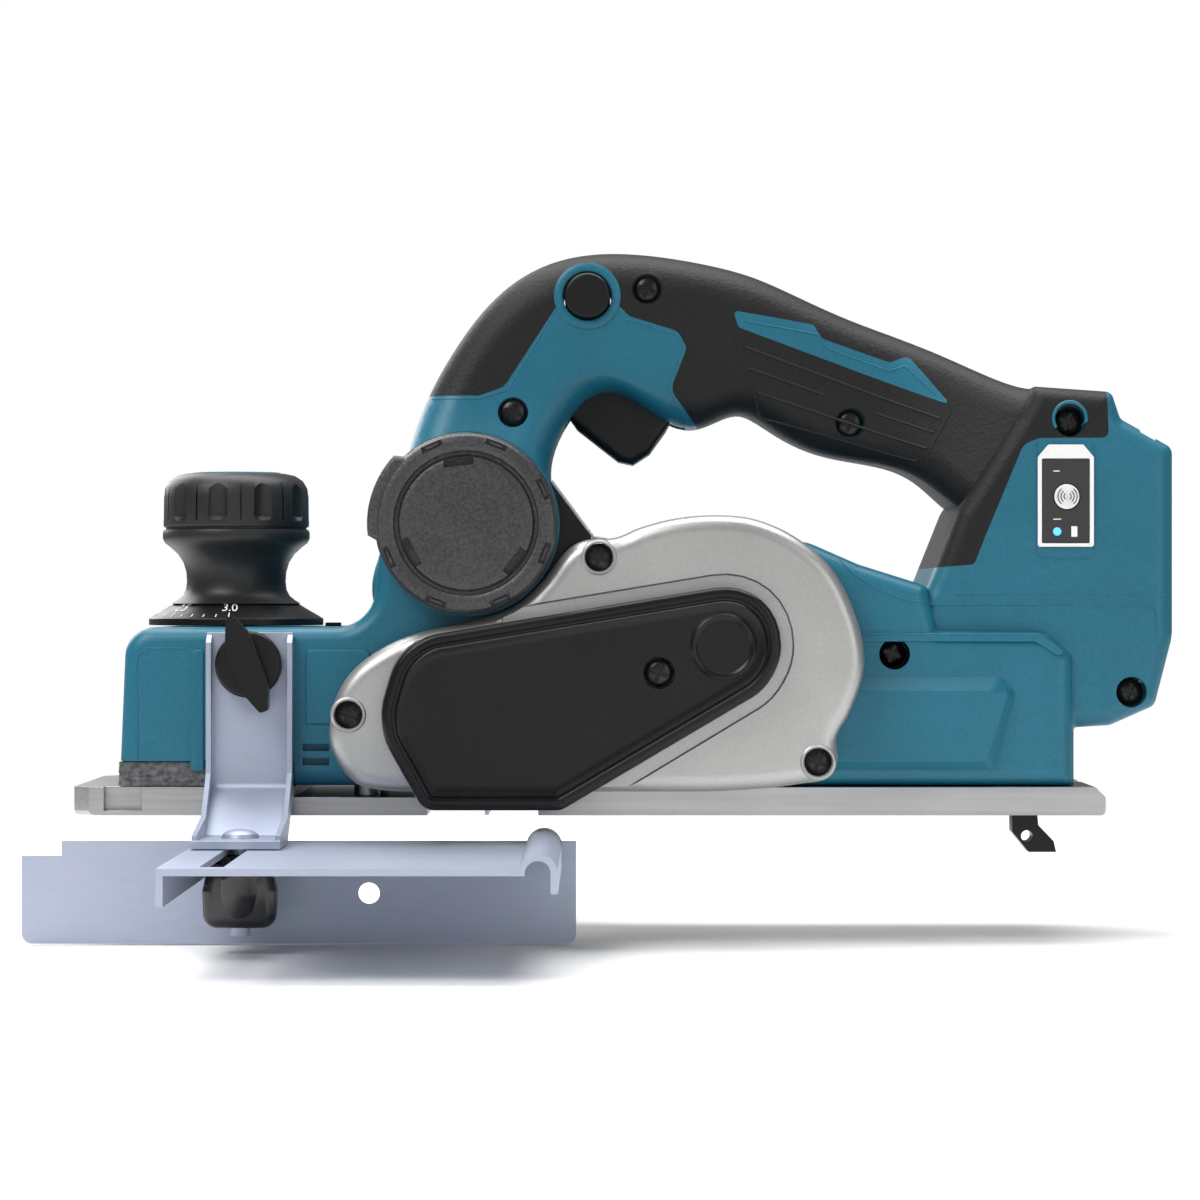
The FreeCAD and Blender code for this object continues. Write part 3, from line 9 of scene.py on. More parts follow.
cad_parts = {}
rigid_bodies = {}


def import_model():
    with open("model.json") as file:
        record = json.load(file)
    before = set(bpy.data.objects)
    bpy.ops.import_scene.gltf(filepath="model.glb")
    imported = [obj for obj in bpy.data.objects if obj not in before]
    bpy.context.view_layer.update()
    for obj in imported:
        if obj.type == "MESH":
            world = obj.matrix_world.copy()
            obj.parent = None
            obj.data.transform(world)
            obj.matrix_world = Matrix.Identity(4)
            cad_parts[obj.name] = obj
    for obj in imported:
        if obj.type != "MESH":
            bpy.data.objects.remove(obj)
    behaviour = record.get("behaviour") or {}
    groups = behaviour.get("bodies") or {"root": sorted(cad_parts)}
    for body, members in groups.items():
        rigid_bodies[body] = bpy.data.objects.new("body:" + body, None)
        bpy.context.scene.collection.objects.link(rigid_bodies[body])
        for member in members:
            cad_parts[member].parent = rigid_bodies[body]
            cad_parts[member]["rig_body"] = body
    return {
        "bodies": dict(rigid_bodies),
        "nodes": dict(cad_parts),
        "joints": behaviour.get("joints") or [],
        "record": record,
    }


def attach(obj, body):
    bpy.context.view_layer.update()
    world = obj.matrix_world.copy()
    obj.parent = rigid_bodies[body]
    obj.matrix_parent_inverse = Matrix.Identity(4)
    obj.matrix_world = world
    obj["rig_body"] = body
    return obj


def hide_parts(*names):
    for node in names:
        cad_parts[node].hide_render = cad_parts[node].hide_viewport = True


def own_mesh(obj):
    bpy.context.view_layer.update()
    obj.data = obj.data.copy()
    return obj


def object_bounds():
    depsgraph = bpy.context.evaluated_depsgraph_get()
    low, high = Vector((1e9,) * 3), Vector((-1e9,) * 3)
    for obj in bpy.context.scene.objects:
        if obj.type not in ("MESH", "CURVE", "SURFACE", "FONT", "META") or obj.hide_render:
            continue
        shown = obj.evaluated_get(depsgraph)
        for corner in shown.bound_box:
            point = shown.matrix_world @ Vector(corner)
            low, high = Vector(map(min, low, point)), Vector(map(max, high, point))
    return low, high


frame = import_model()
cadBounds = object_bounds()
mm = 0.001
nodes = frame["nodes"]
slotOf = {part["node"]: part["material_slot"] for part in frame["record"]["subparts"]}
print("frame loaded,", len(nodes), "nodes")


def at(x, y, z):
    return Vector((x, y, z)) * mm


# camera, floor and light
studio = {
    "cameraAt": (35.5, -1250, 65.2),
    "lens": 119.82,
    "floorPale": (0.93, 0.93, 0.93),
    "floorFade": (0.42, 0.85),
    "roomStrength": 0.24,
    "backdropStrength": 1.0,
    # name, place, aimed at, width, height, watts
    "lamps": (("keyLight", (-520, -620, 820), (30, 0, 90), 620, 520, 8.5),
              ("fillLight", (760, -760, 300), (60, 0, 60), 500, 800, 2.2),
              ("topLight", (60, 120, 1000), (40, 0, 80), 1200, 700, 17),
              ("lowFill", (240, -1500, 120), (0, 0, 10), 1100, 300, 1.2),
              ("backLight", (-500, 700, 500), (40, 0, 80), 600, 600, 5)),
}


def setUpStudio():
    lens = bpy.data.cameras.new("planerLens")
    lens.lens = studio["lens"]
    lens.clip_start, lens.clip_end = 0.05, 40
    camera = bpy.data.objects.new("planerCamera", lens)
    camera.location = at(*studio["cameraAt"])
    camera.rotation_euler = (math.radians(90), 0, 0)
    bpy.context.scene.collection.objects.link(camera)
    bpy.context.scene.camera = camera
    for name, place, aim, width, height, watts in studio["lamps"]:
        lamp = bpy.data.lights.new(name, "AREA")
        lamp.shape = "RECTANGLE"
        lamp.size, lamp.size_y, lamp.energy = width * mm, height * mm, watts
        holder = bpy.data.objects.new(name, lamp)
        holder.location = at(*place)
        holder.rotation_euler = (at(*aim) - at(*place)).to_track_quat("-Z", "Y").to_euler()
        bpy.context.scene.collection.objects.link(holder)
    world = bpy.data.worlds.new("paleRoom")
    world.use_nodes = True
    # the room itself looks white, but lights the planer softly
    tree = world.node_tree
    room = tree.nodes["Background"]
    room.inputs["Strength"].default_value = studio["roomStrength"]
    backdrop = tree.nodes.new("ShaderNodeBackground")
    for shown in (room, backdrop):
        shown.inputs["Color"].default_value = (1, 1, 1, 1)
    backdrop.inputs["Strength"].default_value = studio["backdropStrength"]
    seen, either = tree.nodes.new("ShaderNodeLightPath"), tree.nodes.new("ShaderNodeMixShader")
    tree.links.new(seen.outputs["Is Camera Ray"], either.inputs["Fac"])
    tree.links.new(room.outputs["Background"], either.inputs[1])
    tree.links.new(backdrop.outputs["Background"], either.inputs[2])
    tree.links.new(either.outputs["Shader"], tree.nodes["World Output"].inputs["Surface"])
    bpy.context.scene.world = world
    bpy.context.scene.view_settings.view_transform = "Standard"
    floorLevel = cadBounds[0].z - 0.0005
    shape = bmesh.new()
    bmesh.ops.create_grid(shape, x_segments=1, y_segments=1, size=6)
    bmesh.ops.translate(shape, verts=shape.verts, vec=(0, 0, floorLevel))
    mesh = bpy.data.meshes.new("studioFloor")
    shape.to_mesh(mesh)
    shape.free()
    floor = bpy.data.objects.new("studioFloor", mesh)
    paint = bpy.data.materials.new("paleFloor")
    paint.use_nodes = True
    paint.node_tree.nodes["Principled BSDF"].inputs["Base Color"].default_value = (*studio["floorPale"], 1)
    tree = paint.node_tree
    tree.nodes["Principled BSDF"].inputs["Roughness"].default_value = 0.9
    # the floor thins out into the pale room away from the planer
    coords, reach = tree.nodes.new("ShaderNodeTexCoord"), tree.nodes.new("ShaderNodeVectorMath")
    fade, mix = tree.nodes.new("ShaderNodeMapRange"), tree.nodes.new("ShaderNodeMixShader")
    reach.operation = "LENGTH"
    fade.interpolation_type = "SMOOTHSTEP"
    fade.inputs["From Min"].default_value, fade.inputs["From Max"].default_value = studio["floorFade"]
    tree.links.new(coords.outputs["Object"], reach.inputs[0])
    tree.links.new(reach.outputs["Value"], fade.inputs["Value"])
    tree.links.new(fade.outputs["Result"], mix.inputs["Fac"])
    tree.links.new(tree.nodes["Principled BSDF"].outputs["BSDF"], mix.inputs[1])
    tree.links.new(tree.nodes.new("ShaderNodeBsdfTransparent").outputs["BSDF"], mix.inputs[2])
    tree.links.new(mix.outputs["Shader"], tree.nodes["Material Output"].inputs["Surface"])
    mesh.materials.append(paint)
    bpy.context.scene.collection.objects.link(floor)


setUpStudio()
print("studio ready")


# finishes
finishes = {
    # colour, roughness, metallic, grain per metre, grain depth in mm, colour spread, what kind of grain
    "teal_plastic": dict(colour=(0.0095, 0.118, 0.180), rough=0.40, grain=1500, depth=0.035, spread=0.12, shine=0.34),
    "black_rubber": dict(colour=(0.0075, 0.0075, 0.008), rough=0.55, grain=900, depth=0.16, spread=0.3,
                         cells=True, shine=0.26),
    "black_plastic": dict(colour=(0.005, 0.005, 0.0054), rough=0.38, grain=1300, depth=0.05, spread=0.25, shine=0.25),
    "gloss_black": dict(colour=(0.010, 0.010, 0.011), rough=0.16, grain=500, depth=0.006, spread=0.1),
    "silver_case": dict(colour=(0.395, 0.395, 0.387), rough=0.38, metal=0.75, grain=2200, depth=0.02, spread=0.10),
    "cast_sole": dict(colour=(0.36, 0.36, 0.365), rough=0.34, metal=1.0, grain=700, depth=0.015, spread=0.12,
                      drawn=(0.02, 1, 1)),
    "zinc_sheet": dict(colour=(0.36, 0.42, 0.51), rough=0.46, metal=0.6, grain=900, depth=0.006, spread=0.05,
                       tint=(0.37, 0.39, 0.50), drawn=(0.2, 1, 1)),
    "black_steel": dict(colour=(0.014, 0.014, 0.015), rough=0.30, metal=0.5, grain=900, depth=0.01, spread=0.2),
    "bright_steel": dict(colour=(0.62, 0.62, 0.63), rough=0.26, metal=1.0, grain=900, depth=0.01, spread=0.1,
                         drawn=(1, 0.05, 1)),
    "foam": dict(colour=(0.11, 0.11, 0.115), rough=0.95, grain=520, depth=0.7, spread=0.6, cells=True),
    "copper": dict(colour=(0.60, 0.24, 0.10), rough=0.3, metal=1.0, grain=800, depth=0.02, spread=0.2,
                   drawn=(1, 0.05, 1)),
    "white_plastic": dict(colour=(0.76, 0.76, 0.75), rough=0.34, grain=1200, depth=0.01, spread=0.04),
    "belt_rubber": dict(colour=(0.016, 0.016, 0.016), rough=0.7, grain=900, depth=0.05, spread=0.2),
    "drum_alloy": dict(colour=(0.50, 0.51, 0.53), rough=0.34, metal=1.0, grain=600, depth=0.02, spread=0.12,
                       drawn=(1, 0.04, 1)),
    "board_green": dict(colour=(0.015, 0.12, 0.045), rough=0.4, grain=700, depth=0.01, spread=0.2),
    "lightBlue": dict(colour=(0.05, 0.25, 0.9), rough=0.3, grain=700, depth=0.0, spread=0.1, glow=2.4),
    # near-black paint for groove beads: painted shade standing in for the recess of each groove
    "grooveShade": dict(colour=(0.004, 0.004, 0.004), rough=0.6, grain=700, depth=0.02, spread=0.1),
    "grainyBlack": dict(colour=(0.034, 0.034, 0.036), rough=0.42, grain=1100, depth=0.30, spread=0.55, shine=0.5),
    "satinBlack": dict(colour=(0.006, 0.006, 0.0066), rough=0.28, grain=1500, depth=0.012, spread=0.3, shine=0.24),
    "knobBlack": dict(colour=(0.014, 0.014, 0.0145), rough=0.42, grain=1400, depth=0.05, spread=0.3, shine=0.34),
    "printWhite": dict(colour=(0.78, 0.78, 0.77), rough=0.5, grain=1500, depth=0.004, spread=0.05),
}


def makeFinish(name, colour, rough, metal=0.0, grain=1000, depth=0.02, spread=0.1,
               cells=False, drawn=(1, 1, 1), tint=None, glow=0.0, shine=0.5):
    paint = bpy.data.materials.new(name)
    paint.use_nodes = True
    tree = paint.node_tree
    shader = tree.nodes["Principled BSDF"]
    shader.inputs["Metallic"].default_value = metal
    shader.inputs["Specular IOR Level"].default_value = shine
    coords = tree.nodes.new("ShaderNodeTexCoord")
    spot = tree.nodes.new("ShaderNodeMapping")
    spot.inputs["Scale"].default_value = drawn
    tree.links.new(coords.outputs["Object"], spot.inputs["Vector"])
    # broad colour drift with a little speckle on top
    drift = tree.nodes.new("ShaderNodeTexNoise")
    drift.inputs["Scale"].default_value = 28
    drift.inputs["Detail"].default_value = 6
    tree.links.new(coords.outputs["Object"], drift.inputs["Vector"])
    speckle = tree.nodes.new("ShaderNodeTexNoise")
    speckle.inputs["Scale"].default_value = grain
    speckle.inputs["Detail"].default_value = 2
    tree.links.new(spot.outputs["Vector"], speckle.inputs["Vector"])
    both = tree.nodes.new("ShaderNodeMix")
    both.inputs["Factor"].default_value = 0.55
    tree.links.new(drift.outputs["Fac"], both.inputs["A"])
    tree.links.new(speckle.outputs["Fac"], both.inputs["B"])
    ramp = tree.nodes.new("ShaderNodeValToRGB")
    low = [part * (1 - spread) for part in colour]
    high = [min(part * (1 + spread), 1) for part in (tint or colour)]
    ramp.color_ramp.elements[0].position, ramp.color_ramp.elements[1].position = 0.36, 0.64
    ramp.color_ramp.elements[0].color, ramp.color_ramp.elements[1].color = (*low, 1), (*high, 1)
    tree.links.new(both.outputs["Result"], ramp.inputs["Fac"])
    tree.links.new(ramp.outputs["Color"], shader.inputs["Base Color"])
    gloss = tree.nodes.new("ShaderNodeMapRange")
    gloss.inputs["To Min"].default_value, gloss.inputs["To Max"].default_value = rough * 0.86, min(rough * 1.16, 1)
    tree.links.new(both.outputs["Result"], gloss.inputs["Value"])
    tree.links.new(gloss.outputs["Result"], shader.inputs["Roughness"])
    if depth:
        relief = speckle
        if cells:
            relief = tree.nodes.new("ShaderNodeTexVoronoi")
            relief.inputs["Scale"].default_value = grain
            tree.links.new(coords.outputs["Object"], relief.inputs["Vector"])
        bump = tree.nodes.new("ShaderNodeBump")
        bump.inputs["Strength"].default_value = 0.5
        bump.inputs["Distance"].default_value = depth * mm
        tree.links.new(relief.outputs["Distance" if cells else "Fac"], bump.inputs["Height"])
        tree.links.new(bump.outputs["Normal"], shader.inputs["Normal"])
    if glow:
        shader.inputs["Emission Color"].default_value = (*colour, 1)
        shader.inputs["Emission Strength"].default_value = glow
    return paint


paints = {name: makeFinish(name, **look) for name, look in finishes.items()}
print("finishes ready,", len(paints))


# ways of making a piece
def sharpen(shape, smooth):
    for face in shape.faces:
        face.smooth = True
    for edge in shape.edges:
        edge.smooth = len(edge.link_faces) == 2 and edge.calc_face_angle(0) < math.radians(smooth)


def addPiece(name, shape, body, slotName, smooth=34, bevel=0.0, instead=(), paint=None, weighted=False):
    bmesh.ops.remove_doubles(shape, verts=shape.verts, dist=0.002 * mm)
    sharpen(shape, smooth)
    mesh = bpy.data.meshes.new(name)
    shape.to_mesh(mesh)
    shape.free()
    mesh.materials.append(paints[paint or slotName])
    piece = bpy.data.objects.new(name, mesh)
    bpy.context.scene.collection.objects.link(piece)
    if bevel:
        edges = piece.modifiers.new("edges", "BEVEL")
        edges.width, edges.segments, edges.limit_method = bevel * mm, 2, "ANGLE"
        edges.angle_limit = math.radians(smooth)
        edges.harden_normals = True
    elif weighted:
        piece.modifiers.new("evenShading", "WEIGHTED_NORMAL").keep_sharp = True
    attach(piece, body)
    if instead:
        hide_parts(*instead)
    return piece


def carryOver(node, bevel=0.0, smooth=34, flat=0.4):
    # merged copy of a frame node, its flat faces made whole again
    source = nodes[node]
    shape = bmesh.new()
    shape.from_mesh(source.data)
    bmesh.ops.remove_doubles(shape, verts=shape.verts, dist=0.002 * mm)
    if flat:
        bmesh.ops.dissolve_limit(shape, angle_limit=math.radians(flat), verts=shape.verts, edges=shape.edges)
    return addPiece(node + "Shown", shape, source["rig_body"], slotOf[node], smooth, bevel, instead=[node],
                    weighted=True)


def roundedFace(shape, corners, y):
    # corners are (x, z, radius) in mm; the face looks towards -Y
    points = [shape.verts.new(at(x, y, z)) for x, z, _ in corners]
    shape.faces.new(points)
    count = len(corners)
    for index, point in enumerate(points):
        radius = corners[index][2]
        if radius > 0:
            here = Vector(corners[index][:2])
            back = (Vector(corners[index - 1][:2]) - here).normalized()
            ahead = (Vector(corners[(index + 1) % count][:2]) - here).normalized()
            reach = radius / math.tan(back.angle(ahead) / 2)
            bmesh.ops.bevel(shape, geom=[point], offset=reach * mm, segments=8, affect="VERTICES",
                            profile=0.5, material=-1)
    shape.faces.ensure_lookup_table()
    face = shape.faces[0]
    face.normal_update()
    if face.normal.y > 0:
        face.normal_flip()
    return face


def plateShape(corners, yFront, yBack, edge):
    # a flat piece with a rounded front edge
    shape = bmesh.new()
    face = roundedFace(shape, corners, yBack)
    made = bmesh.ops.extrude_face_region(shape, geom=[face])
    front = [item for item in made["geom"] if isinstance(item, bmesh.types.BMFace)]
    bmesh.ops.translate(shape, verts=front[0].verts, vec=(0, (yFront - yBack) * mm, 0))
    bmesh.ops.recalc_face_normals(shape, faces=shape.faces)
    bmesh.ops.bevel(shape, geom=list(front[0].edges), offset=edge * mm, segments=4, affect="EDGES",
                    profile=0.5, material=-1)
    return shape


def bead(name, points, radius, body, slotName, closed=False, paint=None):
    # a round bead along points in mm
    line = bpy.data.curves.new(name, "CURVE")
    line.dimensions = "3D"
    line.bevel_depth, line.bevel_resolution = radius * mm, 2
    line.use_fill_caps = True
    run = line.splines.new("POLY")
    run.points.add(len(points) - 1)
    for spot, point in zip(run.points, points):
        spot.co = (*at(*point), 1)
    run.use_cyclic_u = closed
    helper = bpy.data.objects.new(name + "Line", line)
    shape = bmesh.new()
    shape.from_mesh(bpy.data.meshes.new_from_object(helper))
    bpy.data.objects.remove(helper)
    return addPiece(name, shape, body, slotName, 60, paint=paint)


def rounded(corners):
    # the outline (x, z) of corners (x, z, radius), all in mm
    shape = bmesh.new()
    face = roundedFace(shape, corners, 0.0)
    points = [(loop.vert.co.x / mm, loop.vert.co.z / mm) for loop in face.loops]
    shape.free()
    return points


def turned(profile, centre, towards="Y", steps=64):
    # profile is (radius, along) in mm, spun round a line along Y or Z through centre
    shape = bmesh.new()
    spots = []
    for radius, along in profile:
        place = (centre[0] + radius, along, centre[1]) if towards == "Y" else (centre[0] + radius, centre[1], along)
        spots.append(shape.verts.new(at(*place)))
    edges = [shape.edges.new(pair) for pair in zip(spots, spots[1:])]
    axis = (0, 1, 0) if towards == "Y" else (0, 0, 1)
    middle = at(centre[0], 0, centre[1]) if towards == "Y" else at(centre[0], centre[1], 0)
    bmesh.ops.spin(shape, geom=spots + edges, cent=middle, axis=axis, angle=math.tau, steps=steps, use_merge=True)
    bmesh.ops.remove_doubles(shape, verts=shape.verts, dist=0.002 * mm)
    bmesh.ops.recalc_face_normals(shape, faces=shape.faces)
    return shape


def blockShape(low, high, edge=0.0, segments=2):
    shape = bmesh.new()
    size = [(b - a) * mm for a, b in zip(low, high)]
    bmesh.ops.create_cube(shape, size=1)
    bmesh.ops.scale(shape, verts=shape.verts, vec=size)
    bmesh.ops.translate(shape, verts=shape.verts, vec=at(*[(a + b) / 2 for a, b in zip(low, high)]))
    if edge:
        bmesh.ops.bevel(shape, geom=shape.edges[:], offset=edge * mm, segments=segments, affect="EDGES",
                        profile=0.5, material=-1)
    return shape


def join(shapes):
    whole = bmesh.new()
    for shape in shapes:
        mesh = bpy.data.meshes.new("joining")
        shape.to_mesh(mesh)
        shape.free()
        whole.from_mesh(mesh)
        bpy.data.meshes.remove(mesh)
    return whole


def cutWith(piece, cutters, smooth=34):
    # takes the cutter shapes out of a finished piece
    for number, shape in enumerate(cutters):
        mesh = bpy.data.meshes.new("cutter")
        shape.to_mesh(mesh)
        shape.free()
        tool = bpy.data.objects.new("cutter", mesh)
        bpy.context.scene.collection.objects.link(tool)
        cut = piece.modifiers.new("cut%d" % number, "BOOLEAN")
        cut.operation, cut.solver, cut.object = "DIFFERENCE", "EXACT", tool
        bpy.context.view_layer.update()
        made = bpy.data.meshes.new_from_object(piece.evaluated_get(bpy.context.evaluated_depsgraph_get()))
        piece.modifiers.remove(cut)
        piece.data = made
        bpy.data.objects.remove(tool)
    shape = bmesh.new()
    shape.from_mesh(piece.data)
    sharpen(shape, smooth)
    shape.to_mesh(piece.data)
    shape.free()
    return piece


def lettering(text, height):
    # flat letters in the XY plane, centred, one unit of height in mm
    words = bpy.data.curves.new("words", "FONT")
    words.body, words.size = text, height * 1.4 * mm
    words.align_x, words.align_y = "CENTER", "CENTER"
    words.extrude = 0.03 * mm
    helper = bpy.data.objects.new("words", words)
    shape = bmesh.new()
    shape.from_mesh(bpy.data.meshes.new_from_object(helper))
    bpy.data.objects.remove(helper)
    return shape


def islands(node):
    # lowest and highest corner of each separate solid in a frame node, in mm
    shape = bmesh.new()
    shape.from_mesh(nodes[node].data)
    bmesh.ops.remove_doubles(shape, verts=shape.verts, dist=0.002 * mm)
    boxes, seen = [], set()
    for start in shape.verts:
        if start in seen:
            continue
        group, waiting = [], [start]
        seen.add(start)
        while waiting:
            vert = waiting.pop()
            group.append(vert.co / mm)
            for edge in vert.link_edges:
                other = edge.other_vert(vert)
                if other not in seen:
                    seen.add(other)
                    waiting.append(other)
        boxes.append([[pick(spot[axis] for spot in group) for axis in range(3)] for pick in (min, max)])
    shape.free()
    return boxes


def surfaceOf(*names):
    # what a line is laid on, seen from the near side
    shape = bmesh.new()
    for name in names:
        shape.from_mesh(nodes[name].data)
    tree = BVHTree.FromBMesh(shape)
    shape.free()
    return tree


def laidOn(tree, corners, lift, side=-1, step=1.5, closed=False):
    # points every step mm along the line (x, z), dropped on the surface and lifted off it
    points = []
    ends = list(zip(corners, corners[1:] + (corners[:1] if closed else [])))
    for (x0, z0), (x1, z1) in ends:
        count = max(1, round(math.hypot(x1 - x0, z1 - z0) / step))
        for number in range(count + (1 if (x1, z1) == corners[-1] and not closed else 0)):
            x, z = x0 + (x1 - x0) * number / count, z0 + (z1 - z0) * number / count
            hit = tree.ray_cast(at(x, side * 300, z), Vector((0, -side, 0)))[0]
            if hit:
                points.append((x, hit.y / mm + side * lift, z))
    return points


def smoothLine(points, steps=5):
    # a closed curve through points (x, z)
    line, count = [], len(points)
    for index in range(count):
        before, here, after, beyond = (Vector(points[(index + shift) % count]) for shift in (-1, 0, 1, 2))
        for step in range(steps):
            part = step / steps
            line.append(0.5 * (here * 2 + (after - before) * part
                               + (before * 2 - here * 5 + after * 4 - beyond) * part ** 2
                               + (here * 3 - before - after * 3 + beyond) * part ** 3))
    return line


def moved(points, inwards):
    # the closed outline (x, z), drawn in by inwards mm
    area = sum(a[0] * b[1] - b[0] * a[1] for a, b in zip(points, points[1:] + points[:1]))
    side = 1 if area > 0 else -1
    line = []
    for before, here, after in zip(points[-1:] + points[:-1], points, points[1:] + points[:1]):
        back, ahead = (Vector(here) - Vector(before)).normalized(), (Vector(after) - Vector(here)).normalized()
        across = Vector((-(back + ahead).y, (back + ahead).x)).normalized() * side
        widen = max(0.5, across.dot(Vector((-back.y, back.x)) * side))
        line.append(Vector(here) + across * inwards / widen)
    return line


def stacked(points, profile):
    # rings of one outline joined up, profile is (inwards, y) in mm, closed at both ends
    shape = bmesh.new()
    rings = [[shape.verts.new(at(x, y, z)) for x, z in moved(points, inwards)] for inwards, y in profile]
    for one, other in zip(rings, rings[1:]):
        for index in range(len(one)):
            shape.faces.new((one[index - 1], one[index], other[index], other[index - 1]))
    shape.faces.new(rings[0])
    shape.faces.new(rings[-1])
    bmesh.ops.recalc_face_normals(shape, faces=shape.faces)
    return shape


def arc(x, z, radius, start, stop, steps=10):
    return [(x + radius * math.cos(math.radians(start + (stop - start) * n / steps)),
             z + radius * math.sin(math.radians(start + (stop - start) * n / steps))) for n in range(steps + 1)]


# the frame's own pieces, carried over with softened edges
softened = {
    "grip_inlays": 0.25, "rear_base": 0.5, "front_base": 0.5, "fence_bracket": 0.4, "fence_guide": 0.3,
    "depth_dial": 0.25, "depth_pointer": 0.25, "rear_foot": 0.5, "foot_pin": 0.2, "chip_nozzle": 0.3,
    "chip_duct": 0.3, "panel_button": 0.25, "bracket_thumb_screw": 0.4, "fence_bolt": 0.3, "battery_terminal": 0.3,
    "battery_rails": 0.3,
}
remade = {"nozzle_cap", "housing_screws", "belt_case_screws", "belt_cover_screw", "foam_seal", "belt_case",
          "belt_cover", "depth_knob", "fence_nut"}
for node in sorted(set(nodes) - remade):
    carryOver(node, softened.get(node, 0.0))
print("frame pieces carried over")


# cross-head screws
screwHead = {"height": 2.6, "dome": 0.7, "crossWidth": 1.25, "crossReach": 2.7, "crossDepth": 1.5, "shank": 1.9}


def crossScrews(node, name):
    heads, cutters = [], []
    for low, high in islands(node):
        x, z = (low[0] + high[0]) / 2, (low[2] + high[2]) / 2
        radius, top = (high[0] - low[0]) / 2, low[1]
        dome, height = screwHead["dome"], screwHead["height"]
        heads.append(turned([(0, top), (radius * 0.5, top + dome * 0.2), (radius * 0.85, top + dome),
                             (radius, top + dome * 2), (radius, top + height), (screwHead["shank"], top + height),
                             (screwHead["shank"], high[1]), (0, high[1])], (x, z), steps=32))
        for turn in (20, 110):
            arm = blockShape((-screwHead["crossReach"], -1, -screwHead["crossWidth"] / 2),
                             (screwHead["crossReach"], screwHead["crossDepth"], screwHead["crossWidth"] / 2))
            bmesh.ops.rotate(arm, verts=arm.verts, cent=(0, 0, 0), matrix=Matrix.Rotation(math.radians(turn), 3, "Y"))
            bmesh.ops.translate(arm, verts=arm.verts, vec=at(x, top, z))
            cutters.append(arm)
    body = nodes[node]["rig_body"]
    piece = addPiece(name, join(heads), body, slotOf[node], 40, instead=[node])
    return cutWith(piece, cutters)


for node, name in (("housing_screws", "housingScrewSet"), ("belt_case_screws", "caseScrewSet"),
                   ("belt_cover_screw", "coverScrew")):
    crossScrews(node, name)
print("screws made")


# foam seal
foamSeal = {"low": 8.95, "high": 16.05, "outer": (-110.2, -57.4, 40.4), "wall": 10.0, "rounding": 1.4}


def makeFoam():
    left, right, half = foamSeal["outer"]
    shape = bmesh.new()
    corners = [shape.verts.new(at(x, y, foamSeal["low"])) for x, y in
               ((left, -half), (right, -half), (right, half), (left, half))]
    face = shape.faces.new(corners)
    bmesh.ops.inset_region(shape, faces=[face], thickness=foamSeal["wall"] * mm, use_even_offset=True,
                           use_boundary=True)
    bmesh.ops.delete(shape, geom=[face], context="FACES_ONLY")
    made = bmesh.ops.extrude_face_region(shape, geom=shape.faces[:])
    bmesh.ops.translate(shape, verts=[item for item in made["geom"] if isinstance(item, bmesh.types.BMVert)],
                        vec=(0, 0, (foamSeal["high"] - foamSeal["low"]) * mm))
    bmesh.ops.recalc_face_normals(shape, faces=shape.faces)
    sharp = [edge for edge in shape.edges if len(edge.link_faces) == 2 and edge.calc_face_angle(0) > 0.5]
    bmesh.ops.bevel(shape, geom=sharp, offset=foamSeal["rounding"] * mm, segments=3, affect="EDGES",
                    profile=0.5, material=-1)
    bmesh.ops.subdivide_edges(shape, edges=[edge for edge in shape.edges if edge.calc_length() > 2 * mm],
                              cuts=14, use_grid_fill=True)
    piece = addPiece("foamRing", shape, "chassis", "foam", 80, instead=["foam_seal"])
    # small pores press the surface in
    for vert in piece.data.vertices:
        place = vert.co / mm
        pore = math.sin(place.x * 2.9 + 1.3 * math.sin(place.z * 2.1)) * math.sin(place.y * 3.3 + place.z * 2.7)
        vert.co -= vert.normal * 0.16 * mm * (pore + 1)
    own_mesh(piece)


makeFoam()
print("foam made")


# nozzle cap
cap = {"centre": (-4.4, 88.1), "face": -50.35, "outer": -61.85, "radius": 27.2, "disc": 20.4, "clips": 8,
       "slotAngles": (97, 208, 322), "slotSize": (9.0, 2.7), "thumb": (128, 196)}


